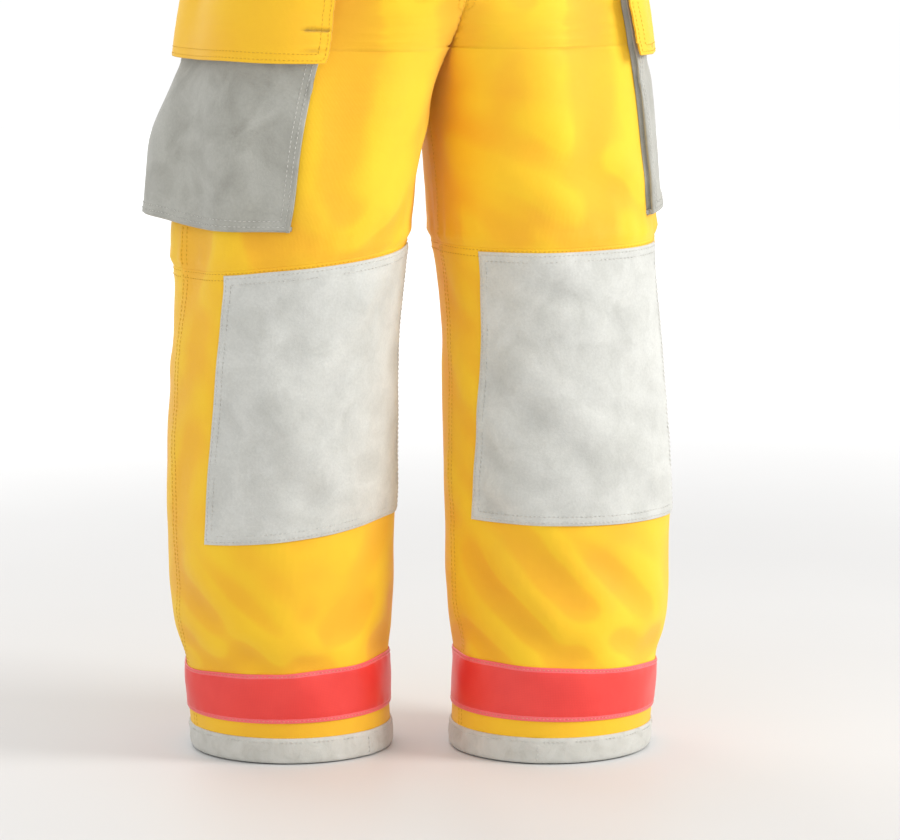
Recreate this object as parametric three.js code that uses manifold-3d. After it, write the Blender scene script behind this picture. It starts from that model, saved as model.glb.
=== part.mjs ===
// Bunker pants: firefighting turnout trousers, standing open on their cuffs.
// Millimetres, +Z up, front towards -Y, so the wearer's left leg is on +X.
// "left" and "right" are the wearer's. Every layer is an offset of one surface, the outer face
// of the shell fabric, which is described ring by ring by legSurface().

import * as THREE from 'three';
import { mergeVertices } from 'three/addons/utils/BufferGeometryUtils.js';
import Module from 'manifold-3d';

const wasm = await Module();
wasm.setup();

// ---------------------------------------------------------------- driving dimensions

// overall
const inseam = 700;              // cuff to crotch
const rise = 300;                // crotch to top of waistband
const waistHalfWidth = 180;
const waistHalfDepth = 130;
const hipHalfWidth = 212;
const thighHalfWidth = 121;
const kneeHalfWidth = 112;
const cuffHalfWidth = 100;
const stanceHalfWidth = 120;     // middle of a cuff from the middle of the body
const stride = 47;               // left cuff in front of the middle, right cuff behind it

// cloth
const shellThickness = 1.6;
const barrierThickness = 1.0;
const linerThickness = 4.0;
const trimThickness = 1.5;       // suede, band tape, hook and loop tape
const pieceGap = 0.3;            // between any two pieces that lie on each other
const seamHalfGap = 0.15;
const legGap = 2.0;              // from the inner face of a thigh to the middle plane

// cuffs and bands
const bindingHeight = 26;
const bandBottom = 42;
const bandHeight = 51;
const linerHem = 55;             // the liner stops this far above the cuff
const snapAboveHem = 16;
const snapRadius = 6;
const snapHeight = 2.4;
const snapBevel = 1.5;

// knees
const kneeHeight = 365;          // middle of the right knee patch
const leftKneeLift = 7;          // the forward leg is bunched up a little higher
const patchHeight = 266;
const patchInnerAngle = 22.5;    // angles run from the inseam (0) by the front (90)
const patchOuterAngle = 147.5;   // to the outseam (180) and on by the back (270)
const kneeSeamAbovePatch = 4;
const padThickness = 6;
const padHeight = 190;

// thigh pockets
const pocketBottom = 535;
const pocketHeight = 210;
const pocketFrontAngle = 110;
const pocketBackAngle = 216;
const leftPocketTurn = 18;       // the left leg is turned out, which carries its pocket backwards
const pocketWall = 1.6;
const pocketFrontDepth = 7;      // bellows depth at the front edge
const pocketBackDepth = 30;      // and at the back edge
const pocketMouthDepth = 8;
const bellowsStart = 150;        // angles between which the bellows deepen
const bellowsEnd = 200;
const flapHeight = 81;
const flapAbovePocket = 26;
const flapOverhang = 2;          // degrees beyond the pocket at each side
const flapThickness = 2;
const foldHalfAngle = 18;        // the part of the flap's top edge that is sewn down flat
const pocketTapeHeight = 38;
const pocketTapeInset = 8;       // from the lower edge of the flap
const tapeThickness = 1.0;

// waist
const waistbandHeight = 44;
const waistbandProud = 1;
const waistbandThickness = 4;
const flyAboveHip = 4;           // lower end of the fly over the hip line
const flyHalfWidth = 24;
const flyThickness = 2;
const shieldHalfWidth = 12;
const hookTapeWidth = 8;
const flyHang = 8;               // the flap reaches this far below the shield
const flyTapeInset = 2;          // from the edge of the flap
const foldWidth = 3;             // a sewn-down edge of a flap
const strapHeight = 26;
const strapThickness = 1.3;
const buckleBar = 2.4;
const buttonRadius = 8.5;
const buttonShankRadius = 3;
const buttonHeight = 4.5;
const buttonShankHeight = 2;
const frontButtonTurns = [22.5, 42.5];    // degrees from the front middle line, each in the middle
const backButtonTurns = [147.5, 167.5];   // of a flat facet of the waistband
const strapBackTurn = 145;       // where the strap is sewn on, and where its loose end stops
const strapTailTurn = 125;
const tabFrontTurn = 65;
const tabTailTurn = 70;
const foldHalfTurn = 2.5;        // from the middle of the buckle to each fold

// fineness of the faceting
const columnStep = 18;           // degrees
const rowStep = 62;
const riseRows = 4;
const turnedSides = 12;
const waistStep = 5;             // degrees
const flyColumnStep = 13;
const flyRowStep = 100;

// ---------------------------------------------------------------- derived heights

const waistTop = inseam + rise;
const waistbandBottom = waistTop - waistbandHeight;
const riseCurve = 0.13 * rise;   // height in which the crotch seam turns upright
const bandTop = bandBottom + bandHeight;
const pocketTop = pocketBottom + pocketHeight;
const flapTop = pocketTop + flapAbovePocket;
const flapBottom = flapTop - flapHeight;
const sides = [
  {
    name: 'right', sign: -1, patchMiddle: kneeHeight, tilt: [0.05, 0.09, 0.11], pocketTurn: 0,
  },
  {
    name: 'left', sign: 1, patchMiddle: kneeHeight + leftKneeLift, tilt: [0.05, 0.01, -0.02],
    pocketTurn: leftPocketTurn,
  },
];
for (const side of sides) {
  side.pocketFront = pocketFrontAngle + side.pocketTurn;
  side.pocketBack = pocketBackAngle + side.pocketTurn;
  side.patchBottom = side.patchMiddle - patchHeight / 2;
  side.patchTop = side.patchMiddle + patchHeight / 2;
  side.kneeSeam = side.patchTop + kneeSeamAbovePatch;
}

// ---------------------------------------------------------------- the trouser surface

// Stations along the leg and body: height (share of the inseam, then 1 plus share of the rise),
// middle of the leg from the body's middle plane, outer face from that plane, front and back
// depth from the leg's middle line.
const radians = THREE.MathUtils.degToRad;
const mix = THREE.MathUtils.lerp;
const clamp = THREE.MathUtils.clamp;
const smooth = (low, high, value) => THREE.MathUtils.smoothstep(value, low, high);
const spread = stanceHalfWidth;
const flankHalfWidth = mix(hipHalfWidth, waistHalfWidth, 0.53);
const seatDepth = waistHalfDepth + 22;
const stations = [
  [0.00, spread, spread + cuffHalfWidth, 98, 98],
  [0.07, spread + 3.5, spread + cuffHalfWidth + 4.5, 99, 99],
  [0.136, spread + 7, spread + cuffHalfWidth + 10.5, 101, 101],
  [0.207, spread + 12, spread + kneeHalfWidth + 8, 106, 105],
  [0.28, spread + 15, spread + kneeHalfWidth + 12.5, 109, 108],
  [0.42, spread + 17.5, spread + kneeHalfWidth + 17.5, 112, 110],
  [0.564, spread + 17.5, spread + kneeHalfWidth + 16, 112, 110],
  [0.68, spread + 13, spread + kneeHalfWidth + 13, 112, 112],
  [0.764, spread + 11, spread + thighHalfWidth + 11, 116, 118],
  [0.80, spread + 8, spread + thighHalfWidth + 6, 117, 120],
  [0.857, spread + 4, spread + thighHalfWidth + 2, 118, 124],
  [0.943, 112, hipHalfWidth + 26, 120, 132],
  [1.00, 100, hipHalfWidth + 22, 122, seatDepth - 14],
  [1.13, 66, hipHalfWidth + 12, 130, seatDepth - 4],
  [1.25, 24, hipHalfWidth + 4, 136, seatDepth + 1],
  [1.36, 0, hipHalfWidth - 2, waistHalfDepth + 5, seatDepth],
  [1.68, 0, flankHalfWidth, waistHalfDepth + 2.5, waistHalfDepth + 12],
  [1.84, 0, mix(flankHalfWidth, waistHalfWidth, 0.5), waistHalfDepth + 1.25, waistHalfDepth + 6],
  [2.00, 0, waistHalfWidth, waistHalfDepth, waistHalfDepth],
];
const hipLine = inseam + 0.36 * rise;   // above it the two legs share one oval ring
const flyBottom = hipLine + flyAboveHip;
const closingHeight = 40;               // height in which the thighs' gap closes to the seam's
const innerRounding = 8;                // how softly a thigh flattens at the middle plane
const tiltFade = 110;                   // height in which the lean fades above the knee seam
const column = (index) => stations.map((row) => [row[0], row[index]]);
const centreKnots = column(1);
const outerKnots = column(2);
const frontKnots = column(3);
const backKnots = column(4);

// Smooth interpolation of [position, value] knots, without overshoot.
function profile(knots, at) {
  const last = knots.length - 1;
  if (at <= knots[0][0]) return knots[0][1];
  if (at >= knots[last][0]) return knots[last][1];
  const slope = (i) => (knots[i + 1][1] - knots[i][1]) / (knots[i + 1][0] - knots[i][0]);
  const tangent = (i) => {
    if (i === 0 || i === last) return slope(Math.min(i, last - 1));
    const before = slope(i - 1);
    const after = slope(i);
    return before * after <= 0 ? 0 : (2 * before * after) / (before + after);
  };
  const k = knots.findIndex((knot) => knot[0] > at) - 1;
  const width = knots[k + 1][0] - knots[k][0];
  const s = (at - knots[k][0]) / width;
  return (
    (2 * s ** 3 - 3 * s ** 2 + 1) * knots[k][1] +
    (s ** 3 - 2 * s ** 2 + s) * width * tangent(k) +
    (3 * s ** 2 - 2 * s ** 3) * knots[k + 1][1] +
    (s ** 3 - s ** 2) * width * tangent(k + 1)
  );
}

const heightShare = (z) => (z < inseam ? z / inseam : 1 + (z - inseam) / rise);
const middleGap = (z) => mix(legGap, seamHalfGap, smooth(inseam - closingHeight, inseam, z));
const middleBlend = (z) => innerRounding * (1 - smooth(inseam - closingHeight, inseam, z));

// How far the rings lean: the outer side of a shin hangs lower than its inner side.
function ringTilt(side, z) {
  const [atBand, atPatch, atSeam] = side.tilt;
  return profile([
    [bindingHeight + 1, 0],
    [bandTop, atBand],
    [side.patchBottom, atPatch],
    [side.kneeSeam, atSeam],
    [side.kneeSeam + tiltFade, 0],
  ], z);
}

// Ring sizes at a height.
function ringAt(z) {
  const share = heightShare(z);
  const centre = profile(centreKnots, share);
  return {
    centre,
    halfWidth: profile(outerKnots, share) - centre,
    front: profile(frontKnots, share),
    back: profile(backKnots, share),
    forward: stride * (1 - smooth(0, 0.97, share) ** 1.1),
  };
}

// A point of the outer face. Thighs are flattened where they would cross the middle plane,
// and with clamped = false the ring goes through it, which gives the true slope at a seam.
function legSurface(side, z, angle, clamped = true) {
  const ring = ringAt(z);
  const across = -ring.halfWidth * Math.cos(angle);
  const depth = Math.sin(angle) > 0 ? ring.front : ring.back;
  let x = ring.centre + across;
  if (clamped) {
    const limit = middleGap(z);
    const blend = middleBlend(z);
    x = (x + limit + Math.sqrt((x - limit) ** 2 + blend ** 2)) / 2;
  }
  const y = -side.sign * ring.forward - depth * Math.sin(angle);
  return new THREE.Vector3(side.sign * x, y, z - ringTilt(side, z) * across);
}

// Outward direction of the surface.
function legNormal(side, z, angle) {
  const free = z > inseam;
  const ring = ringAt(z);
  if (free && ring.centre - ring.halfWidth * Math.cos(angle) < middleGap(z) - 0.01) {
    return new THREE.Vector3(-side.sign, 0, 0);
  }
  const around = legSurface(side, z, angle + 0.01, !free)
    .sub(legSurface(side, z, angle - 0.01, !free));
  const up = legSurface(side, z + 1, angle, !free).sub(legSurface(side, z - 1, angle, !free));
  return around.cross(up).normalize().multiplyScalar(side.sign);
}

function layerPoint(side, z, angle, offset) {
  return legSurface(side, z, angle).addScaledVector(legNormal(side, z, angle), offset);
}

// Angle at which a front or back panel starts: the inseam below the crotch, and above it the
// seam that climbs the middle plane until the two legs' panels meet edge to edge.
function seamAngle(z) {
  if (z <= inseam) return 0;
  const ring = ringAt(z);
  const cosine = clamp((ring.centre - middleGap(z)) / ring.halfWidth, -1, 1);
  const corner = Math.acos(cosine);
  return corner * Math.sqrt(Math.min(1, (z - inseam) / riseCurve));
}

// ---------------------------------------------------------------- faceting

// Values from first to last through every stop, no step longer than the given one.
function subdivide(stops, step) {
  const sorted = [...new Set(stops)].sort((a, b) => a - b);
  const values = [sorted[0]];
  for (let i = 1; i < sorted.length; i++) {
    const count = Math.max(1, Math.ceil((sorted[i] - sorted[i - 1]) / step - 1e-9));
    for (let k = 1; k <= count; k++) values.push(mix(sorted[i - 1], sorted[i], k / count));
  }
  return values;
}

for (const side of sides) {
  side.frontAngles = subdivide(
    [0, patchInnerAngle, side.pocketFront, patchOuterAngle, 180], columnStep);
  side.backAngles = subdivide([180, side.pocketBack, 360], columnStep);
  side.ringAngles = [...side.frontAngles, ...side.backAngles.slice(1, -1)];
  side.linerAngles = [...side.ringAngles, 360].filter((_, index) => index % 2 === 0);
}

// Heights of the rows that every layer shares, from low to high.
function rowsBetween(side, low, high) {
  const rows = subdivide([
    0, bindingHeight, bandBottom, bandTop, side.patchBottom, side.patchTop, side.kneeSeam,
    pocketBottom, flapBottom, inseam, inseam + riseCurve, hipLine, waistbandBottom,
  ], rowStep);
  for (let k = 1; k < riseRows; k++) {
    rows.push(inseam + riseCurve * (k / riseRows) ** 2);
    rows.push(mix(inseam + riseCurve, hipLine, k / riseRows));
  }
  const inside = [...new Set(rows)].filter((z) => z > low + 0.5 && z < high - 0.5);
  return [low, ...inside, high].sort((a, b) => a - b);
}

function meshGeometry(points, triangles) {
  const geometry = new THREE.BufferGeometry();
  const positions = points.flatMap((point) => point.toArray());
  geometry.setAttribute('position', new THREE.Float32BufferAttribute(positions, 3));
  let volume = 0;
  for (const [a, b, c] of triangles) {
    volume += points[a].dot(new THREE.Vector3().crossVectors(points[b], points[c])) / 6;
  }
  const facing = volume > 0 ? triangles : triangles.map(([a, b, c]) => [a, c, b]);
  geometry.setIndex(facing.flat());
  return geometry;
}

// A closed sheet from two matching grids of points: outer[row][column] and inner[row][column].
// With wrap the columns close on themselves and the sheet is a sleeve.
function sheetSolid(outer, inner, wrap = false) {
  const rows = outer.length;
  const columns = outer[0].length;
  const points = [...outer.flat(), ...inner.flat()];
  const triangles = [];
  const at = (layer, row, col) => layer * rows * columns + row * columns + (col % columns);
  const quad = (a, b, c, d) => triangles.push([a, b, c], [a, c, d]);
  const lastColumn = wrap ? columns : columns - 1;
  for (let row = 0; row < rows - 1; row++) {
    for (let col = 0; col < lastColumn; col++) {
      quad(at(0, row, col), at(0, row, col + 1), at(0, row + 1, col + 1), at(0, row + 1, col));
      quad(at(1, row, col), at(1, row + 1, col), at(1, row + 1, col + 1), at(1, row, col + 1));
    }
    if (!wrap) {
      quad(at(1, row, 0), at(0, row, 0), at(0, row + 1, 0), at(1, row + 1, 0));
      const end = columns - 1;
      quad(at(0, row, end), at(1, row, end), at(1, row + 1, end), at(0, row + 1, end));
    }
  }
  for (let col = 0; col < lastColumn; col++) {
    const top = rows - 1;
    quad(at(1, 0, col), at(1, 0, col + 1), at(0, 0, col + 1), at(0, 0, col));
    quad(at(0, top, col), at(0, top, col + 1), at(1, top, col + 1), at(1, top, col));
  }
  return meshGeometry(points, triangles);
}

// A sheet of the trousers: angles (degrees) by heights, between two offsets. An offset is a
// number or a function of angle (degrees) and height.
function layer(side, angles, heights, outerOffset, innerOffset, wrap = false) {
  const value = (offset, angle, z) => (typeof offset === 'function' ? offset(angle, z) : offset);
  const grid = (offset) => heights.map((z) =>
    angles.map((angle) => layerPoint(side, z, hangingAngle(angle, z), value(offset, angle, z))));
  return sheetSolid(grid(outerOffset), grid(innerOffset), wrap);
}

// What hangs at the side of the hip keeps its distance from the outseam, so its angles close up
// as the ring widens above the crotch.
function hangingAngle(angle, z) {
  const meanRadius = (height) => (ringAt(height).halfWidth + ringAt(height).front) / 2;
  const share = z > inseam ? meanRadius(inseam) / meanRadius(z) : 1;
  return Math.PI + radians(angle - 180) * share;
}

// A sheet that follows the crotch seam: shares of the way from the seam to the outseam.
function panel(side, which, angles, low, high, outerOffset, innerOffset) {
  const rows = rowsBetween(side, low, high);
  const fullness = (z) => smooth(inseam - slackFade, inseam, z)
    * (1 - smooth(hipLine, waistbandBottom - slackFade, z));
  const slack = (z) => (which === 'whole' ? seatSlack * fullness(z) : 0);
  const grid = (offset) => rows.map((z) => angles.map((angle) =>
    layerPoint(side, z, panelAngle(which, angle, z), offset - slack(z))));
  return sheetSolid(grid(outerOffset), grid(innerOffset));
}

function panelAngle(which, angle, z) {
  const trim = seamHalfGap / ringAt(z).front;
  const start = seamAngle(z);
  const turned = radians(angle);
  const end = 2 * Math.PI - start;
  if (which === 'front') {
    return clamp(mix(start, Math.PI, turned / Math.PI), start + trim, Math.PI - trim);
  }
  if (which === 'back') {
    return clamp(mix(Math.PI, end, turned / Math.PI - 1), Math.PI + trim, end - trim);
  }
  return clamp(mix(start, end, turned / (2 * Math.PI)), start + trim, end - trim);
}

// ---------------------------------------------------------------- booleans

const cutOvershoot = 5.5;        // how far a cutting solid passes the face it opens

function toSolid(geometry) {
  const bare = geometry.clone();
  bare.deleteAttribute('normal');
  bare.deleteAttribute('uv');
  const merged = mergeVertices(bare, 1e-4);
  return new wasm.Manifold(new wasm.Mesh({
    numProp: 3,
    vertProperties: new Float32Array(merged.attributes.position.array),
    triVerts: new Uint32Array(merged.index.array),
  }));
}

function toGeometry(solid) {
  const mesh = solid.getMesh();
  const geometry = new THREE.BufferGeometry();
  geometry.setAttribute('position', new THREE.Float32BufferAttribute(mesh.vertProperties, 3));
  geometry.setIndex(Array.from(mesh.triVerts));
  return geometry;
}

const cutAway = (body, tool) => toGeometry(toSolid(body).subtract(toSolid(tool)));
const joined = (body, other) => toGeometry(toSolid(body).add(toSolid(other)));

// ---------------------------------------------------------------- scene graph

const group = new THREE.Group();
group.name = 'bunker_pants';

const finishes = {
  shell: { color: '#f2bf13', roughness: 0.72, metalness: 0 },
  suede: { color: '#a9a9a1', roughness: 0.92, metalness: 0 },
  binding: { color: '#b9b9b2', roughness: 0.8, metalness: 0 },
  band: { color: '#ec4a3d', roughness: 0.6, metalness: 0 },
  barrier: { color: '#d9d6c8', roughness: 0.6, metalness: 0 },
  liner: { color: '#3c4656', roughness: 0.9, metalness: 0 },
  pad: { color: '#4a4a48', roughness: 0.95, metalness: 0 },
  tape: { color: '#2b2b2b', roughness: 0.95, metalness: 0 },
  webbing: { color: '#2c2c2a', roughness: 0.9, metalness: 0 },
  plastic: { color: '#1d1d1d', roughness: 0.45, metalness: 0 },
  metal: { color: '#a8a8a6', roughness: 0.35, metalness: 1 },
};

function add(name, geometry, finish) {
  const mesh = new THREE.Mesh(geometry, new THREE.MeshStandardMaterial(finishes[finish]));
  mesh.name = name;
  group.add(mesh);
}

// ---------------------------------------------------------------- legs

const shellBottom = trimThickness + pieceGap;
const barrierOuter = -shellThickness - pieceGap;
const barrierInner = barrierOuter - barrierThickness;
const linerOuter = barrierInner - pieceGap;
const linerInner = linerOuter - linerThickness;
const padOuter = linerInner - 2 * pieceGap;
const seatSlack = 4;             // the liner hangs free of the shell round the seat
const slackFade = 35;            // height in which that slack begins and ends
const linerTop = waistbandBottom - 3;
const snapFacets = [2, 8];       // the columns of the liner that carry its snaps, front and back

function addShell(side) {
  const kneeLine = side.kneeSeam;
  for (const [which, angles] of [['front', side.frontAngles], ['back', side.backAngles]]) {
    add(`${side.name}_lower_leg_${which}_panel`,
      panel(side, which, angles, shellBottom, kneeLine - seamHalfGap, 0, -shellThickness), 'shell');
    add(`${side.name}_thigh_${which}_panel`,
      panel(side, which, angles, kneeLine + seamHalfGap, waistbandBottom, 0, -shellThickness), 'shell');
  }
}

// Moisture barrier and quilted thermal liner: one sheet per leg, closed along the inseam.
function addLiner(side) {
  const { linerAngles } = side;
  add(`${side.name}_moisture_barrier`,
    panel(side, 'whole', linerAngles, linerHem, linerTop, barrierOuter, barrierInner), 'barrier');
  add(`${side.name}_thermal_liner`,
    panel(side, 'whole', linerAngles, linerHem, linerTop, linerOuter, linerInner), 'liner');
  const padAngles = linerAngles.filter((a) => a >= patchInnerAngle && a <= patchOuterAngle);
  const padBottom = side.patchMiddle - padHeight / 2;
  add(`${side.name}_knee_pad`,
    layer(side, padAngles, rowsBetween(side, padBottom, padBottom + padHeight),
      padOuter, padOuter - padThickness), 'pad');
  snapFacets.forEach((facet, index) => {
    const corner = (k, z) => layerPoint(side, z, radians(linerAngles[k]), linerInner);
    const height = linerHem + snapAboveHem;
    const place = corner(facet, height).add(corner(facet + 1, height)).multiplyScalar(0.5);
    const along = corner(facet + 1, height).sub(corner(facet, height));
    const up = corner(facet, height + snapRadius).sub(corner(facet, height - snapRadius));
    const inward = up.cross(along).normalize().multiplyScalar(side.sign);
    place.addScaledVector(inward, 2 * pieceGap);
    const outline = [
      [0, 0], [snapRadius, 0], [snapRadius - snapBevel, snapHeight], [0, snapHeight],
    ];
    add(`${side.name}_liner_snap_${index + 1}`, turned(outline, place, inward), 'metal');
  });
}

// A turned piece: profile points [radius, height] around an axis from a point.
function turned(outline, place, axis) {
  const points = outline.map(([radius, height]) => new THREE.Vector2(radius, height));
  const geometry = new THREE.LatheGeometry(points, turnedSides);
  const turn = new THREE.Quaternion().setFromUnitVectors(new THREE.Vector3(0, 1, 0), axis);
  geometry.applyQuaternion(turn);
  geometry.translate(place.x, place.y, place.z);
  geometry.deleteAttribute('uv');
  geometry.deleteAttribute('normal');
  const merged = mergeVertices(geometry, 1e-4);
  return toGeometry(toSolid(merged));
}

function addKneePatch(side) {
  const angles = side.frontAngles.filter((a) => a >= patchInnerAngle && a <= patchOuterAngle);
  add(`${side.name}_knee_patch`,
    layer(side, angles, rowsBetween(side, side.patchBottom, side.patchTop),
      pieceGap + trimThickness, pieceGap), 'suede');
}

function addBand(side) {
  add(`${side.name}_leg_band`,
    layer(side, side.ringAngles, [bandBottom, bandTop], pieceGap + trimThickness, pieceGap, true), 'band');
}

// Leather binding folded round the hem: an outer wall, a flat foot and an inner wall.
function addBinding(side) {
  const { ringAngles } = side;
  const inside = barrierOuter;
  const outside = pieceGap;
  const section = [
    [0, outside + trimThickness], [bindingHeight, outside + trimThickness], [bindingHeight, outside],
    [trimThickness, outside], [trimThickness, inside], [bindingHeight, inside],
    [bindingHeight, inside - trimThickness], [0, inside - trimThickness],
  ];
  const points = ringAngles.flatMap((angle) =>
    section.map(([z, offset]) => {
      const point = layerPoint(side, z, radians(angle), offset);
      point.z = z;
      return point;
    }));
  const triangles = [];
  const count = section.length;
  ringAngles.forEach((_, col) => {
    const next = (col + 1) % ringAngles.length;
    for (let k = 0; k < count; k++) {
      const [a, b] = [k, (k + 1) % count];
      triangles.push([col * count + a, next * count + a, next * count + b]);
      triangles.push([col * count + a, next * count + b, col * count + b]);
    }
  });
  add(`${side.name}_cuff_binding`, meshGeometry(points, triangles), 'binding');
}

// ---------------------------------------------------------------- thigh pockets

const loopOuter = pocketMouthDepth + pieceGap + tapeThickness;
const hookOuter = loopOuter + pieceGap + tapeThickness;
const flapInner = hookOuter + pieceGap;

// Depth of the pocket's outer face: full at the bottom, deeper behind, flat at the mouth.
function pocketDepth(side, angle, z) {
  const behind = smooth(bellowsStart, bellowsEnd, angle - side.pocketTurn);
  const full = mix(pocketFrontDepth, pocketBackDepth, behind);
  return mix(full, pocketMouthDepth, smooth(pocketBottom + 0.3 * pocketHeight, flapBottom, z));
}

function addPocket(side) {
  const angles = subdivide([side.pocketFront, patchOuterAngle, 180, side.pocketBack], columnStep);
  const heights = rowsBetween(side, pocketBottom, pocketTop);
  const face = (angle, z) => pocketDepth(side, angle, z);
  const block = layer(side, angles, heights, face, pieceGap);
  const wallAngle = (pocketWall / thighHalfWidth) * (180 / Math.PI);
  const hollowAngles = subdivide(
    [side.pocketFront + wallAngle, patchOuterAngle, 180, side.pocketBack - wallAngle], columnStep);
  const hollowHeights = [
    pocketBottom + pocketWall, ...heights.slice(1, -1), pocketTop + cutOvershoot,
  ];
  const hollow = layer(side, hollowAngles, hollowHeights,
    (angle, z) => face(angle, z) - pocketWall, pieceGap - cutOvershoot);
  add(`${side.name}_thigh_pocket`, cutAway(block, hollow), 'suede');

  const tapeAngles = angles.filter((a) => a >= patchOuterAngle && a < side.pocketBack);
  const tapeBottom = flapBottom + pocketTapeInset;
  const tapeHeights = rowsBetween(side, tapeBottom, tapeBottom + pocketTapeHeight);
  add(`${side.name}_pocket_loop_tape`,
    layer(side, tapeAngles, tapeHeights, loopOuter, pocketMouthDepth + pieceGap), 'tape');
  add(`${side.name}_flap_hook_tape`,
    layer(side, tapeAngles, tapeHeights, hookOuter, loopOuter + pieceGap), 'tape');
}

function addPocketFlap(side) {
  const front = side.pocketFront - flapOverhang;
  const back = side.pocketBack + flapOverhang;
  const angles = subdivide(
    [front, side.pocketFront, patchOuterAngle, 180, side.pocketBack, back], columnStep);
  const heights = rowsBetween(side, flapBottom, flapTop);
  const plate = layer(side, angles, heights, flapInner + flapThickness, flapInner);
  const middle = (front + back) / 2;
  const foldAngles = subdivide([middle - foldHalfAngle, middle + foldHalfAngle], waistStep);
  const fold = layer(side, foldAngles, [flapTop - foldWidth, flapTop],
    flapInner + flapThickness / 2, 2 * pieceGap);
  add(`${side.name}_pocket_flap`, joined(plate, fold), 'shell');
}

// ---------------------------------------------------------------- waist and fly

// A point of the upper ring by the angle from the front middle line (degrees, + to the left leg).
function waistPoint(turn, z, offset) {
  const ring = ringAt(z);
  const theta = radians(turn);
  const place = (height, angle) => {
    const r = ringAt(height);
    const depth = Math.cos(angle) > 0 ? r.front : r.back;
    return new THREE.Vector3(r.halfWidth * Math.sin(angle), -depth * Math.cos(angle), height);
  };
  const depth = Math.cos(theta) > 0 ? ring.front : ring.back;
  const around = new THREE.Vector3(ring.halfWidth * Math.cos(theta), depth * Math.sin(theta), 0);
  const up = place(z + 1, theta).sub(place(z - 1, theta));
  return place(z, theta).addScaledVector(around.cross(up).normalize(), offset);
}

// Same, by distance from the middle plane, for pieces at the fly.
function flyPoint(x, z, offset) {
  return waistPoint(THREE.MathUtils.radToDeg(Math.asin(x / ringAt(z).halfWidth)), z, offset);
}

// A closed prism on the upper ring: outline [turn, offset], between two heights.
function waistPrism(outline, low, high) {
  const bottom = outline.map(([turn, offset]) => waistPoint(turn, low, offset));
  const top = outline.map(([turn, offset]) => waistPoint(turn, high, offset));
  const plan = bottom.map((point) => new THREE.Vector2(point.x, point.y));
  const count = outline.length;
  const triangles = [];
  for (const [a, b, c] of THREE.ShapeUtils.triangulateShape(plan, [])) {
    const anticlockwise = THREE.ShapeUtils.area([plan[a], plan[b], plan[c]]) > 0;
    const [p, q] = anticlockwise ? [b, c] : [c, b];
    triangles.push([a, q, p], [a + count, p + count, q + count]);
  }
  const outlineTurnsLeft = THREE.ShapeUtils.area(plan) > 0;
  for (let k = 0; k < count; k++) {
    const next = (k + 1) % count;
    const [p, q] = outlineTurnsLeft ? [k, next] : [next, k];
    triangles.push([p, q, q + count], [p, q + count, p + count]);
  }
  return meshGeometry([...bottom, ...top], triangles);
}

const turnsBetween = (from, to) => {
  const low = Math.min(from, to);
  const high = Math.max(from, to);
  const inner = [];
  for (let k = Math.ceil(low / waistStep); k * waistStep < high - 0.01; k++) {
    if (k * waistStep > low + 0.01) inner.push(k * waistStep);
  }
  const all = [low, ...inner, high];
  return from < to ? all : all.reverse();
};

// Outline of a strip on the ring from one turn to another between two offsets.
const strip = (from, to, inner, outer) => [
  ...turnsBetween(from, to).map((turn) => [turn, inner]),
  ...turnsBetween(to, from).map((turn) => [turn, outer]),
];

function addWaistband() {
  const end = THREE.MathUtils.radToDeg((2.5 * seamHalfGap) / waistHalfWidth);
  add('waistband', waistPrism(
    strip(end, 360 - end, waistbandProud - waistbandThickness, waistbandProud),
    waistbandBottom + pieceGap, waistTop), 'shell');
}

function flySheet(fromX, toX, low, high, outer, inner) {
  const crossesMiddle = fromX < 0 && toX > 0;
  const xs = subdivide(crossesMiddle ? [fromX, 0, toX] : [fromX, toX], flyColumnStep);
  const zs = subdivide([low, high], flyRowStep);
  const grid = (offset) => zs.map((z) => xs.map((x) => flyPoint(x, z, offset)));
  return sheetSolid(grid(outer), grid(inner));
}

function addFly() {
  const tapeLow = flyBottom + 6;
  const tapeHigh = waistbandBottom - 8;
  const flapLow = flyBottom - flyHang;
  const flapHigh = waistTop - 2;
  const outerTape = -flyHalfWidth + flyTapeInset;
  const loop = pieceGap + trimThickness;
  const hook = loop + pieceGap + trimThickness;
  const flap = hook + pieceGap;
  const foot = waistbandProud + pieceGap;
  add('fly_shield', flySheet(-shieldHalfWidth, shieldHalfWidth, flyBottom, waistbandBottom - 1,
    pieceGap + trimThickness, pieceGap), 'shell');
  add('fly_loop_tape', flySheet(outerTape, outerTape + hookTapeWidth, tapeLow, tapeHigh,
    loop, pieceGap), 'tape');
  add('fly_hook_tape', flySheet(outerTape, outerTape + hookTapeWidth, tapeLow, tapeHigh,
    hook, loop + pieceGap), 'tape');
  const plate = flySheet(-flyHalfWidth, flyHalfWidth, flapLow, flapHigh,
    flap + flyThickness, flap);
  const hingeFold = flySheet(flyHalfWidth - foldWidth, flyHalfWidth, flapLow, flapHigh,
    flap + flyThickness / 2, foot);
  add('fly_flap', joined(plate, hingeFold), 'shell');
}

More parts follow.
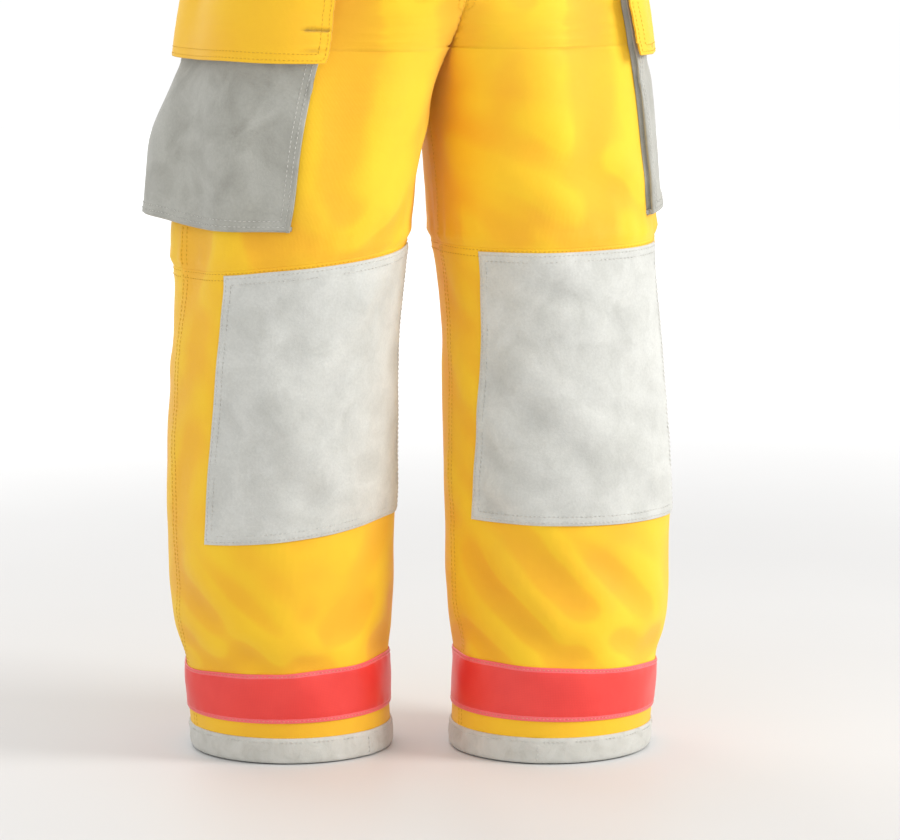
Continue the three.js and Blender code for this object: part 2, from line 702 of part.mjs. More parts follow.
// Each side: a webbing strap from the back, a tab from the front, and the slide buckle between,
// its two upright bars lying in the folds of the webbing.
function addTakeUp(side) {
  const middle = (waistbandBottom + waistTop) / 2;
  const low = middle - strapHeight / 2;
  const high = middle + strapHeight / 2;
  const ground = waistbandProud + pieceGap;
  const under = ground + strapThickness;
  const over = under + buckleBar + 4 * pieceGap;
  const top = over + strapThickness;
  const backFold = 90 + foldHalfTurn;
  const frontFold = 90 - foldHalfTurn;
  const wall = 0.6;                // degrees that the webbing's thickness takes at a fold
  const hairpin = (fold, end, tail, away) => [
    ...turnsBetween(end, fold).map((t) => [t, ground]),
    ...turnsBetween(fold, tail).map((t) => [t, top]),
    ...turnsBetween(tail, fold + away * wall).map((t) => [t, over]),
    ...turnsBetween(fold + away * wall, end).map((t) => [t, under]),
  ];
  const mirror = (outline) => outline.map(([turn, offset]) => [side.sign * turn, offset]);
  const strap = mirror(hairpin(backFold, strapBackTurn, strapTailTurn, 1));
  const tab = mirror(hairpin(frontFold, tabFrontTurn, tabTailTurn, -1));
  add(`${side.name}_take_up_strap`, waistPrism(strap, low, high), 'webbing');
  add(`${side.name}_buckle_tab`, waistPrism(tab, low, high), 'webbing');

  const centre = waistPoint(side.sign * 90, middle, 0);
  const along = new THREE.Vector3(0, side.sign, 0);
  const up = waistPoint(side.sign * 90, middle + 1, 0).sub(centre).normalize();
  const outward = along.clone().cross(up);
  const barTurn = foldHalfTurn + wall + 0.9;
  const halfLength = waistHalfDepth * Math.sin(radians(barTurn)) + buckleBar / 2 + 0.4;
  const halfHeight = strapHeight / 2 + buckleBar + 4 * pieceGap;
  const frame = new THREE.Shape();
  frame.moveTo(-halfLength, -halfHeight);
  frame.lineTo(halfLength, -halfHeight);
  frame.lineTo(halfLength, halfHeight);
  frame.lineTo(-halfLength, halfHeight);
  frame.closePath();
  const window = new THREE.Path();
  const windowLength = halfLength - buckleBar;
  const windowHeight = halfHeight - buckleBar;
  window.moveTo(-windowLength, -windowHeight);
  window.lineTo(-windowLength, windowHeight);
  window.lineTo(windowLength, windowHeight);
  window.lineTo(windowLength, -windowHeight);
  window.closePath();
  frame.holes.push(window);
  const geometry = new THREE.ExtrudeGeometry(frame, { depth: buckleBar, bevelEnabled: false });
  geometry.applyMatrix4(new THREE.Matrix4().makeBasis(along, up, outward));
  // the flat frame stands on a round waist, so its bars lie a little nearer the band than its middle
  const waistCurve = waistHalfDepth ** 2 / waistHalfWidth;
  const recess = windowLength ** 2 / (2 * waistCurve);
  const seat = centre.addScaledVector(outward, under + pieceGap - recess + 0.1);
  geometry.translate(seat.x, seat.y, seat.z);
  add(`${side.name}_buckle`, toGeometry(toSolid(geometry)), 'plastic');
}

// Suspender buttons: a shank and a flat cap, each in the middle of a flat facet of the waistband.
function addButtons() {
  const middle = (waistbandBottom + waistTop) / 2;
  const outline = [
    [0, 0], [buttonShankRadius, 0], [buttonShankRadius, buttonShankHeight],
    [buttonRadius, buttonShankHeight], [buttonRadius, buttonHeight], [0, buttonHeight],
  ];
  const places = [
    ...frontButtonTurns.map((turn, index) => ['front', turn, index + 1]),
    ...backButtonTurns.map((turn, index) => ['back', turn, index + 1]),
  ];
  for (const side of sides) {
    places.forEach(([where, turn, number]) => {
      const edge = (offset) => waistPoint(side.sign * (turn + offset), middle, waistbandProud);
      const flat = edge(-waistStep / 2).add(edge(waistStep / 2)).multiplyScalar(0.5);
      const outward = waistPoint(side.sign * turn, middle, 1)
        .sub(waistPoint(side.sign * turn, middle, 0)).normalize();
      const seat = flat.addScaledVector(outward, pieceGap);
      add(`${side.name}_${where}_suspender_button_${number}`,
        turned(outline, seat, outward), 'metal');
    });
  }
}

// ---------------------------------------------------------------- assembly

for (const side of sides) {
  addShell(side);
  addLiner(side);
  addKneePatch(side);
  addBand(side);
  addBinding(side);
  addPocket(side);
  addPocketFlap(side);
  addTakeUp(side);
}
addWaistband();
addFly();
addButtons();

// The origin is under the middle of the whole object's box, on the surface it stands on.
const box = new THREE.Box3().setFromObject(group, true);
const middleOfBox = box.getCenter(new THREE.Vector3());
group.position.set(-middleOfBox.x, -middleOfBox.y, -box.min.z);

export default group;
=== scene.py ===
"""Looks of the bunker pants: the shell's drape is simulated once, and every layer, trim and seam
is then laid on that draped surface. Lengths are millimetres in the CAD's own frame until the last
step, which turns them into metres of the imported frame."""

import math

import bpy
import numpy as np
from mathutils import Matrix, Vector, noise


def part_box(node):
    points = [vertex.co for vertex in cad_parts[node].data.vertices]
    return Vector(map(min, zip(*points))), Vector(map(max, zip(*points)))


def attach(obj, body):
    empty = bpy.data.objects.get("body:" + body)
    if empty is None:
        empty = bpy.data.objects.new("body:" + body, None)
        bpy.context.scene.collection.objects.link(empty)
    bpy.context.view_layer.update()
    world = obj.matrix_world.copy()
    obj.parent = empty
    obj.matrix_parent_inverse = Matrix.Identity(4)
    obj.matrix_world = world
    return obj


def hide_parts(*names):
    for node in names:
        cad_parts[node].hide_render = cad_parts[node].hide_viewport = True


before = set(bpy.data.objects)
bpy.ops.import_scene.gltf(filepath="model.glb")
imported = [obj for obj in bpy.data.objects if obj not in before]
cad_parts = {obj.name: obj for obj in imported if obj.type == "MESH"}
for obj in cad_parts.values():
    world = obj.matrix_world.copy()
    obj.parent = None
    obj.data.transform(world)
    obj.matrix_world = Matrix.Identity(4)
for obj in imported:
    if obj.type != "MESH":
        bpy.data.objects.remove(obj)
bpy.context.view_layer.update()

MM = 0.001

# ------------------------------------------------------------------ driving dimensions (the CAD's)

INSEAM = 700
RISE = 300
WAIST_HALF_WIDTH = 180
WAIST_HALF_DEPTH = 130
HIP_HALF_WIDTH = 212
THIGH_HALF_WIDTH = 121
KNEE_HALF_WIDTH = 112
CUFF_HALF_WIDTH = 100
STANCE = 120
STRIDE = 47

SHELL = 1.6
TRIM = 1.5
GAP = 0.3
BINDING_HEIGHT = 26
BAND_BOTTOM = 42
BAND_TOP = 93
PATCH_HEIGHT = 266
PATCH_INNER_ANGLE = 22.5
PATCH_OUTER_ANGLE = 147.5
KNEE_SEAM_ABOVE_PATCH = 4
POCKET_BOTTOM = 535
POCKET_TOP = 745
POCKET_FRONT_ANGLE = 110
POCKET_BACK_ANGLE = 216
POCKET_FRONT_DEPTH = 7
POCKET_BACK_DEPTH = 30
POCKET_MOUTH_DEPTH = 8
FLAP_TOP = 771
FLAP_BOTTOM = 690
WAIST_TOP = INSEAM + RISE
WAISTBAND_BOTTOM = WAIST_TOP - 44
RISE_CURVE = 0.13 * RISE
HIP_LINE = INSEAM + 0.36 * RISE
SEAM_HALF_GAP = 0.15
LEG_GAP = 2.0

HALF_GIRTH = 118 * math.pi              # round the front, or the back, of a thigh
HIP_ARC = 120 * math.pi / 180           # millimetres a degree at the pockets
FLY_BOTTOM = HIP_LINE + 4
FLY_HANG = 8                            # of the flap below the shield
FLY_TAPE = (-22, -14, FLY_BOTTOM + 6, WAISTBAND_BOTTOM - 8)
SHIELD_HALF_WIDTH = 12
GREY_STITCH = (3.2, 1.4, 0.85)          # length, gap and width

FLANK = 0.47 * HIP_HALF_WIDTH + 0.53 * WAIST_HALF_WIDTH
SEAT_DEPTH = WAIST_HALF_DEPTH + 22
STATIONS = np.array([
    [0.00, STANCE, STANCE + CUFF_HALF_WIDTH, 98, 98],
    [0.07, STANCE + 3.5, STANCE + CUFF_HALF_WIDTH + 4.5, 99, 99],
    [0.136, STANCE + 7, STANCE + CUFF_HALF_WIDTH + 10.5, 101, 101],
    [0.207, STANCE + 12, STANCE + KNEE_HALF_WIDTH + 8, 106, 105],
    [0.28, STANCE + 15, STANCE + KNEE_HALF_WIDTH + 12.5, 109, 108],
    [0.42, STANCE + 17.5, STANCE + KNEE_HALF_WIDTH + 17.5, 112, 110],
    [0.564, STANCE + 17.5, STANCE + KNEE_HALF_WIDTH + 16, 112, 110],
    [0.68, STANCE + 13, STANCE + KNEE_HALF_WIDTH + 13, 112, 112],
    [0.764, STANCE + 11, STANCE + THIGH_HALF_WIDTH + 11, 116, 118],
    [0.80, STANCE + 8, STANCE + THIGH_HALF_WIDTH + 6, 117, 120],
    [0.857, STANCE + 4, STANCE + THIGH_HALF_WIDTH + 2, 118, 124],
    [0.943, 112, HIP_HALF_WIDTH + 26, 120, 132],
    [1.00, 100, HIP_HALF_WIDTH + 22, 122, SEAT_DEPTH - 14],
    [1.13, 66, HIP_HALF_WIDTH + 12, 130, SEAT_DEPTH - 4],
    [1.25, 24, HIP_HALF_WIDTH + 4, 136, SEAT_DEPTH + 1],
    [1.36, 0, HIP_HALF_WIDTH - 2, WAIST_HALF_DEPTH + 5, SEAT_DEPTH],
    [1.68, 0, FLANK, WAIST_HALF_DEPTH + 2.5, WAIST_HALF_DEPTH + 12],
    [1.84, 0, (FLANK + WAIST_HALF_WIDTH) / 2, WAIST_HALF_DEPTH + 1.25, WAIST_HALF_DEPTH + 6],
    [2.00, 0, WAIST_HALF_WIDTH, WAIST_HALF_DEPTH, WAIST_HALF_DEPTH],
], float)


# ------------------------------------------------------------------ the surface, as in the CAD

def smooth(low, high, value):
    t = np.clip((np.asarray(value, float) - low) / (high - low), 0, 1)
    return t * t * (3 - 2 * t)


def mix(a, b, t):
    return a + (b - a) * t


def unit(v):
    return v / np.maximum(np.linalg.norm(v, axis=-1, keepdims=True), 1e-12)


def profile(places, values, at):
    """Smooth interpolation of knots without overshoot."""
    places = np.asarray(places, float)
    values = np.asarray(values, float)
    slopes = np.diff(values) / np.diff(places)
    tangents = np.concatenate([slopes[:1], slopes[:1].repeat(len(slopes) - 1), slopes[-1:]])
    before = slopes[:-1]
    after = slopes[1:]
    rising = before * after > 0
    total = np.where(rising, before + after, 1)
    tangents[1:-1] = np.where(rising, 2 * before * after / total, 0)
    at = np.clip(np.asarray(at, float), places[0], places[-1])
    k = np.clip(np.searchsorted(places, at, side="right") - 1, 0, len(slopes) - 1)
    width = places[k + 1] - places[k]
    s = (at - places[k]) / width
    return (
        (2 * s**3 - 3 * s**2 + 1) * values[k]
        + (s**3 - 2 * s**2 + s) * width * tangents[k]
        + (3 * s**2 - 2 * s**3) * values[k + 1]
        + (s**3 - s**2) * width * tangents[k + 1]
    )


def ring_table():
    """The rings millimetre by millimetre, eased where leg and rise meet."""
    heights = np.arange(-60.0, WAIST_TOP + 61)
    share = np.where(heights < INSEAM, heights / INSEAM, 1 + (heights - INSEAM) / RISE)
    centre, outer, front, back = (profile(STATIONS[:, 0], STATIONS[:, k], share) for k in (1, 2, 3, 4))
    forward = STRIDE * (1 - smooth(0, 0.97, share) ** 1.1)
    table = np.stack([centre, outer - centre, front, back, forward])
    kernel = np.hanning(61) / np.hanning(61).sum()
    eased = np.stack([np.convolve(np.pad(row, 30, mode="edge"), kernel, mode="valid") for row in table])
    return heights, mix(table, eased, np.exp(-(((heights - INSEAM) / 70) ** 4)))


RING_HEIGHTS, RINGS = ring_table()


def ring_at(z):
    """Middle, half width, front depth, back depth and forward step of a leg ring."""
    z = np.asarray(z, float)
    return tuple(np.interp(z, RING_HEIGHTS, row) for row in RINGS)


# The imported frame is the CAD's frame moved so that its origin is under the middle of the box.
waistband_low, waistband_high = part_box("waistband")
SHIFT = np.array([
    (waistband_low.x + waistband_high.x) / 2,
    (waistband_low.y + waistband_high.y) / 2,
    waistband_high.z - WAIST_TOP * MM,
])


def to_frame(points):
    return np.asarray(points) * MM + SHIFT


class Leg:
    """One leg of the trousers, with the sag that the drape gives its shell."""

    ROW_STEP = 8
    COLUMNS = 36        # on the front, and as many on the back

    def __init__(self, name, sign, patch_middle, pocket_turn, tilt, folds):
        self.name = name
        self.sign = sign
        self.pocket_turn = pocket_turn
        self.pocket_front = POCKET_FRONT_ANGLE + pocket_turn
        self.pocket_back = POCKET_BACK_ANGLE + pocket_turn
        self.patch_bottom = patch_middle - PATCH_HEIGHT / 2
        self.patch_top = patch_middle + PATCH_HEIGHT / 2
        self.knee_seam = self.patch_top + KNEE_SEAM_ABOVE_PATCH
        self.tilt = tilt
        self.folds = folds
        rows = list(np.arange(0, WAISTBAND_BOTTOM + 4, self.ROW_STEP))
        rows += [INSEAM + RISE_CURVE * k**2 / 16 for k in range(5)]
        self.rows = np.array(sorted(set(round(float(z), 2) for z in rows)))
        keep = np.concatenate([[True], np.diff(self.rows) > 1.5])
        self.rows = self.rows[keep]
        self.shares = np.linspace(0, 2, 2 * self.COLUMNS + 1)
        self.sag = np.zeros((len(self.rows), len(self.shares), 3))

    def base(self, z, angle):
        """The undraped outer face at heights z and angles in radians, broadcast together."""
        z, angle = np.broadcast_arrays(np.asarray(z, float), np.asarray(angle, float))
        centre, half_width, front, back, forward = ring_at(z)
        across = -half_width * np.cos(angle)
        depth = np.where(np.sin(angle) > 0, front, back)
        narrowing = smooth(INSEAM - 40, INSEAM, z)
        limit = mix(LEG_GAP, SEAM_HALF_GAP, narrowing)
        blend = 8 * (1 - narrowing)
        x = centre + across
        x = (x + limit + np.sqrt((x - limit) ** 2 + blend**2)) / 2
        y = -self.sign * forward - depth * np.sin(angle)
        heights = [BINDING_HEIGHT + 1, BAND_TOP, self.patch_bottom, self.knee_seam, self.knee_seam + 110]
        lean = profile(heights, [0, *self.tilt, 0], z)
        return np.stack([self.sign * x, y, z - lean * across], axis=-1)

    def seam_angle(self, z):
        """Where the front panel starts: the inseam, and above it the seam up the middle plane."""
        z = np.asarray(z, float)
        centre, half_width, _, _, _ = ring_at(z)
        limit = mix(LEG_GAP, SEAM_HALF_GAP, smooth(INSEAM - 40, INSEAM, z))
        corner = np.arccos(np.clip((centre - limit) / half_width, -1, 1))
        climb = np.sqrt(np.clip((z - INSEAM) / RISE_CURVE, 0, 1))
        return np.where(z > INSEAM, corner * climb, 0)

    def panel_angle(self, z, share):
        """Angle at a share of the way round: 0 at the seam, 1 at the outseam, 2 at the seam again."""
        start = self.seam_angle(z)
        return np.where(share <= 1, mix(start, np.pi, share), mix(np.pi, 2 * np.pi - start, share - 1))

    def hanging_angle(self, z, degrees):
        """Angle of what hangs at the side of the hip and keeps its distance from the outseam."""
        def mean_radius(height):
            _, half_width, front, _, _ = ring_at(height)
            return (half_width + front) / 2
        share = np.where(np.asarray(z) > INSEAM, mean_radius(INSEAM) / mean_radius(z), 1)
        return np.pi + np.radians(np.asarray(degrees, float) - 180) * share

    def sag_at(self, z, angle):
        """The drape's displacement, by smooth interpolation of its grid."""
        start = self.seam_angle(z)
        share = (np.mod(angle, 2 * np.pi) - start) / (np.pi - start)
        row = np.interp(z, self.rows, np.arange(len(self.rows)))
        column = np.clip(share, 0, 2) * self.COLUMNS
        closed = np.asarray(z) <= INSEAM
        total = 0
        row_0 = np.floor(row).astype(int)
        column_0 = np.floor(column).astype(int)
        last = 2 * self.COLUMNS
        for i in range(-1, 3):
            row_i = np.clip(row_0 + i, 0, len(self.rows) - 1)
            row_weight = cubic_weight(row - row_0, i)
            for j in range(-1, 3):
                step = column_0 + j
                column_j = np.where(closed, np.mod(step, last), np.clip(step, 0, last))
                weight = row_weight * cubic_weight(column - column_0, j)
                total = total + weight[..., None] * self.sag[row_i, column_j]
        return total

    def point(self, z, angle):
        z, angle = np.broadcast_arrays(np.asarray(z, float), np.asarray(angle, float))
        return self.base(z, angle) + self.sag_at(z, angle)

    def normal(self, z, angle):
        z, angle = np.broadcast_arrays(np.asarray(z, float), np.asarray(angle, float))
        around = self.point(z, angle + 0.012) - self.point(z, angle - 0.012)
        up = self.point(z + 1.5, angle) - self.point(z - 1.5, angle)
        return unit(np.cross(around, up) * self.sign)

    def place(self, z, angle, offset=0.0):
        """Points in millimetres at an offset from the draped face."""
        offset = np.asarray(offset, float)
        return self.point(z, angle) + self.normal(z, angle) * offset[..., None]


def cubic_weight(t, k):
    """Catmull-Rom weight of the neighbour k (-1 to 2) at the fraction t."""
    if k == -1:
        return -0.5 * t**3 + t**2 - 0.5 * t
    if k == 0:
        return 1.5 * t**3 - 2.5 * t**2 + 1
    if k == 1:
        return -1.5 * t**3 + 2 * t**2 + 0.5 * t
    return 0.5 * t**3 - 0.5 * t**2


# ------------------------------------------------------------------ folds and drape

# Each fold: angle and height where it starts, where it ends, its half width, its height.
# The valley beside a ridge lies on its lower side.
RIGHT_FOLDS = [
    (136, 470, 104, 318, 17, 5.0), (104, 318, 62, 262, 15, 3.5), (60, 480, 92, 400, 16, 3.0),
    (128, 300, 96, 250, 12, 2.5), (146, 430, 120, 340, 13, 2.5),
    (162, 205, 112, 112, 12, 6.5), (139, 212, 97, 122, 12, 3.0), (108, 118, 74, 106, 8, 3.0),
    (178, 160, 146, 112, 10, 3.0),
    (165, 470, 178, 380, 12, 3.5), (172, 350, 186, 250, 13, 3.5),
    (20, 600, 78, 520, 13, 5.0), (8, 640, 60, 575, 14, 5.0), (36, 545, 88, 520, 8, 3.0),
    (110, 560, 84, 516, 10, 3.0), (150, 535, 128, 500, 11, 3.5),
    (200, 400, 262, 350, 13, 5.0), (330, 410, 278, 365, 13, 5.0), (215, 350, 300, 320, 12, 4.5),
    (205, 450, 255, 425, 12, 4.0), (325, 460, 280, 430, 12, 4.0),
    (210, 180, 260, 120, 11, 4.5), (330, 170, 285, 110, 11, 4.5), (250, 560, 320, 610, 16, 5.0),
    (235, 640, 300, 670, 16, 4.0),
]
LEFT_FOLDS = [
    (42, 504, 104, 468, 13, 4.0), (34, 410, 95, 318, 16, 5.0), (60, 455, 130, 395, 15, 3.5),
    (31, 280, 64, 234, 11, 4.0), (100, 330, 140, 265, 13, 3.0), (24, 350, 52, 300, 12, 3.0),
    (62, 226, 88, 172, 10, 4.5), (30, 200, 70, 128, 13, 5.5), (96, 215, 140, 150, 13, 2.5),
    (10, 140, 44, 108, 9, 3.0),
    (6, 612, 86, 540, 14, 6.0), (10, 585, 70, 522, 12, 5.5), (14, 553, 48, 514, 8, 3.5),
    (60, 640, 130, 560, 16, 5.0), (100, 590, 150, 535, 12, 4.0), (0, 500, 26, 440, 10, 4.0),
    (355, 420, 20, 360, 11, 3.5), (350, 300, 16, 240, 11, 3.5),
    (200, 420, 262, 368, 13, 5.0), (330, 430, 278, 385, 13, 5.0), (215, 370, 300, 340, 12, 4.5),
    (205, 470, 255, 445, 12, 4.0), (325, 480, 280, 450, 12, 4.0), (165, 470, 180, 380, 12, 3.0),
    (210, 180, 260, 120, 11, 4.5), (330, 170, 285, 110, 11, 4.5), (250, 560, 320, 610, 16, 5.0),
    (235, 640, 300, 670, 16, 4.0),
]


def fold_height(folds, z, degrees):
    """Height of the folds and of the small unevenness of heavy cloth, in millimetres."""
    radius = 112 * math.pi / 180
    total = np.zeros(np.broadcast(z, degrees).shape)
    for start_angle, start_z, end_angle, end_z, width, height in folds:
        turn = np.mod(degrees - start_angle + 180, 360) - 180
        span = (end_angle - start_angle + 180) % 360 - 180
        run = np.array([span * radius, end_z - start_z])
        length = np.hypot(*run)
        along_x, along_z = run / length
        x = turn * radius
        y = z - start_z
        along = (x * along_x + y * along_z) / length
        aside = x * along_z - y * along_x
        if along_x < 0:
            aside = -aside
        aside = aside + 0.12 * length * (along - along**2)
        taper = smooth(-0.25, 0.25, along) * (1 - smooth(0.75, 1.25, along))
        ridge = np.exp(-((aside / width) ** 2))
        valley = np.exp(-(((aside - 1.5 * width) / (1.15 * width)) ** 2))
        total += height * taper * (ridge - 0.6 * valley)
    return total


def rough_cloth(points, size, seed):
    """Smooth noise, one value for each point, with features of about that size."""
    flat = points.reshape(-1, 3) / size + seed
    values = [noise.fractal(Vector(p), 0.9, 2.1, 3) for p in flat]
    return np.array(values).reshape(points.shape[:-1])


def seed_folds(leg):
    """The shape that the drape starts from: the undraped leg with its designed folds."""
    z = leg.rows[:, None]
    angle = leg.panel_angle(z, leg.shares[None, :])
    points = leg.base(z, angle)
    leg.sag[:] = 0
    normals = leg.normal(z + 0 * angle, angle)
    height = fold_height(leg.folds, z, np.degrees(angle))
    height = height + 2.2 * rough_cloth(points, 60, 3.7 + leg.sign)
    free = smooth(30, 125, z) * (1 - smooth(820, 930, z))
    seam = np.where(z > INSEAM, smooth(0, 0.25, np.minimum(leg.shares, 2 - leg.shares)[None, :]), 1)
    return points, normals * (height * free * seam)[..., None]


DRAPE_FRAMES = 26
EASE_LENGTH = 0.05      # the shell is cut this much longer than the leg it hangs on
EASE_GIRTH = 0.02


def without_ripples(sag, closed):
    """The displacement without what is finer than the grid can carry."""
    for _ in range(2):
        tall = np.concatenate([sag[:1], sag, sag[-1:]])
        sag = (tall[:-2] + 2 * tall[1:-1] + tall[2:]) / 4
        before = np.roll(sag, 1, axis=1)
        after = np.roll(sag, -1, axis=1)
        before[closed, 0] = sag[closed, -2]
        after[closed, -1] = sag[closed, 1]
        before[~closed, 0] = sag[~closed, 0]
        after[~closed, -1] = sag[~closed, -1]
        sag = (before + 2 * sag + after) / 4
    return sag


def drape(leg):
    """Cloth simulation of the shell of one leg, from its designed folds."""
    points, seed = seed_folds(leg)
    leg.sag = seed
    rows, columns = points.shape[:2]
    start = points + seed
    index = np.arange(rows * columns).reshape(rows, columns)
    closed = leg.rows <= INSEAM
    index[closed, -1] = index[closed, 0]
    faces = [
        (index[r, c], index[r, c + 1], index[r + 1, c + 1], index[r + 1, c])
        for r in range(rows - 1) for c in range(columns - 1)
    ]
    faces = [tuple(int(i) for i in face) for face in faces]
    used = sorted({i for face in faces for i in face})
    compact = {old: new for new, old in enumerate(used)}
    faces = [tuple(compact[i] for i in face) for face in faces]
    if leg.sign < 0:
        faces = [face[::-1] for face in faces]
    flat = start.reshape(-1, 3)[used] * MM
    mesh = bpy.data.meshes.new("drape")
    mesh.from_pydata(flat.tolist(), [], faces)
    cloth = bpy.data.objects.new("drape", mesh)
    bpy.context.scene.collection.objects.link(cloth)
    cloth.shape_key_add(name="Basis")
    cut = cloth.shape_key_add(name="Cut")
    base = points.reshape(-1, 3)[used]
    middle_x = np.repeat(leg.sign * ring_at(leg.rows)[0], columns)[used]
    row_z = np.repeat(leg.rows, columns)[used]
    eased = base.copy()
    eased[:, 2] = base[:, 2] + EASE_LENGTH * np.minimum(base[:, 2], HIP_LINE)
    girth = 1 + EASE_GIRTH * (1 - smooth(INSEAM - 60, INSEAM + 60, row_z))
    eased[:, 0] = middle_x + (base[:, 0] - middle_x) * girth
    eased[:, 1] = base[:, 1] * girth
    cut.data.foreach_set("co", (eased * MM).astype(np.float32).ravel())
    hold = np.zeros((rows, columns))
    z = leg.rows[:, None]
    hold = np.maximum(hold, smooth(880, 950, z))
    hold = np.maximum(hold, 1 - smooth(34, 60, z))
    hold = np.maximum(hold, 0.35 * (1 - smooth(60, 110, z)))
    edge = np.minimum(leg.shares, 2 - leg.shares)[None, :]
    hold = np.maximum(hold, np.where(z > INSEAM - 12, 1 - smooth(0.0, 0.12, edge), 0))
    weights = hold.ravel()[used]
    group = cloth.vertex_groups.new(name="hold")
    for i, weight in enumerate(weights):
        group.add([i], float(weight), "REPLACE")
    bpy.context.view_layer.objects.active = cloth
    modifier = cloth.modifiers.new("Cloth", "CLOTH")
    settings = modifier.settings
    settings.quality = 6
    settings.mass = 0.4
    settings.tension_stiffness = 60
    settings.compression_stiffness = 60
    settings.shear_stiffness = 25
    settings.bending_stiffness = 8
    settings.tension_damping = 15
    settings.compression_damping = 15
    settings.shear_damping = 10
    settings.bending_damping = 1.5
    settings.air_damping = 4
    settings.vertex_group_mass = "hold"
    settings.pin_stiffness = 8
    settings.rest_shape_key = cut
    settings.use_pressure = True
    settings.uniform_pressure_force = 0.12
    settings.effector_weights.gravity = 0.35
    modifier.collision_settings.use_collision = False
    modifier.point_cache.frame_start = 1
    modifier.point_cache.frame_end = DRAPE_FRAMES
    scene = bpy.context.scene
    for number in range(1, DRAPE_FRAMES + 1):
        scene.frame_set(number)
    evaluated = cloth.evaluated_get(bpy.context.evaluated_depsgraph_get())
    moved = np.empty(len(used) * 3, np.float32)
    evaluated.data.vertices.foreach_get("co", moved)
    full = np.zeros((rows * columns, 3))
    full[used] = moved.reshape(-1, 3) / MM
    full = full.reshape(rows, columns, 3)
    full[closed, -1] = full[closed, 0]
    sag = full - points
    size = np.linalg.norm(sag, axis=-1, keepdims=True)
    sag = sag * np.tanh(size / 15) * 15 / np.maximum(size, 1e-9)
    sag = without_ripples(sag, closed)
    moved_x = leg.sign * (points + sag)[..., 0]
    sag[..., 0] += leg.sign * np.maximum(LEG_GAP * (leg.rows[:, None] < INSEAM) - moved_x, 0)
    leg.sag = sag
    scene.frame_set(1)
    bpy.data.objects.remove(cloth)


# ------------------------------------------------------------------ materials

def srgb(red, green, blue):
    """A linear colour from 0-255 values."""
    def linear(value):
        value = value / 255
        return value / 12.92 if value <= 0.04045 else ((value + 0.055) / 1.055) ** 2.4
    return linear(red), linear(green), linear(blue), 1.0


class Finish:
    """A procedural material under construction."""

    def __init__(self, name, roughness, metallic=0.0, sheen=0.0):
        self.material = bpy.data.materials.new(name)
        self.material.use_nodes = True
        self.tree = self.material.node_tree
        self.shader = self.tree.nodes["Principled BSDF"]
        self.shader.inputs["Roughness"].default_value = roughness
        self.shader.inputs["Metallic"].default_value = metallic
        self.shader.inputs["Sheen Weight"].default_value = sheen
        self.shader.inputs["Sheen Roughness"].default_value = 0.6
        coordinates = self.node("ShaderNodeTexCoord")
        self.object = coordinates.outputs["Object"]
        self.uv = coordinates.outputs["UV"]

    def node(self, kind, **settings):
        made = self.tree.nodes.new(kind)
        for key, value in settings.items():
            setattr(made, key, value)
        return made

    def link(self, source, target):
        self.tree.links.new(source, target)

    def noise(self, where, scale, detail=3.0, rough=0.55, distortion=0.0):
        made = self.node("ShaderNodeTexNoise")
        made.inputs["Scale"].default_value = scale
        made.inputs["Detail"].default_value = detail
        made.inputs["Roughness"].default_value = rough
        made.inputs["Distortion"].default_value = distortion
        self.link(where, made.inputs["Vector"])
        return made.outputs["Fac"]

    def ramp(self, source, stops):
        made = self.node("ShaderNodeValToRGB")
        elements = made.color_ramp.elements
        elements[0].position, elements[0].color = stops[0]
        elements[1].position, elements[1].color = stops[-1]
        for position, colour in stops[1:-1]:
            elements.new(position).color = colour
        self.link(source, made.inputs["Fac"])
        return made.outputs["Color"]

    def math(self, operation, a, b):
        made = self.node("ShaderNodeMath", operation=operation)
        for socket, value in zip(made.inputs, (a, b)):
            if isinstance(value, (int, float)):
                socket.default_value = value
            else:
                self.link(value, socket)
        return made.outputs["Value"]

    def blend(self, kind, share, a, b):
        made = self.node("ShaderNodeMix", data_type="RGBA", blend_type=kind)
        if isinstance(share, (int, float)):
            made.inputs["Factor"].default_value = share
        else:
            self.link(share, made.inputs["Factor"])
        for socket, value in ((made.inputs[6], a), (made.inputs[7], b)):
            if isinstance(value, tuple):
                socket.default_value = value
            else:
                self.link(value, socket)
        return made.outputs[2]

    def attribute(self, name):
        return self.node("ShaderNodeAttribute", attribute_name=name).outputs["Fac"]

    def threads(self, direction, spacing):
        """Bands a thread apart across the UV map, which is in metres."""
        made = self.node("ShaderNodeTexWave", wave_type="BANDS", bands_direction=direction)
        made.inputs["Scale"].default_value = 2 * math.pi / (20 * spacing)
        made.inputs["Distortion"].default_value = 0.3
        self.link(self.uv, made.inputs["Vector"])
        return made.outputs["Fac"]

    def bump(self, height, depth, strength=1.0, under=None):
        made = self.node("ShaderNodeBump")
        made.inputs["Strength"].default_value = strength
        made.inputs["Distance"].default_value = depth
        self.link(height, made.inputs["Height"])
        if under is not None:
            self.link(under, made.inputs["Normal"])
        return made.outputs["Normal"]

    def colour(self, source):
        self.link(source, self.shader.inputs["Base Color"])

    def normal(self, source):
        self.link(source, self.shader.inputs["Normal"])

    def roughness(self, source):
        self.link(source, self.shader.inputs["Roughness"])


def grey(value):
    return value, value, value, 1.0


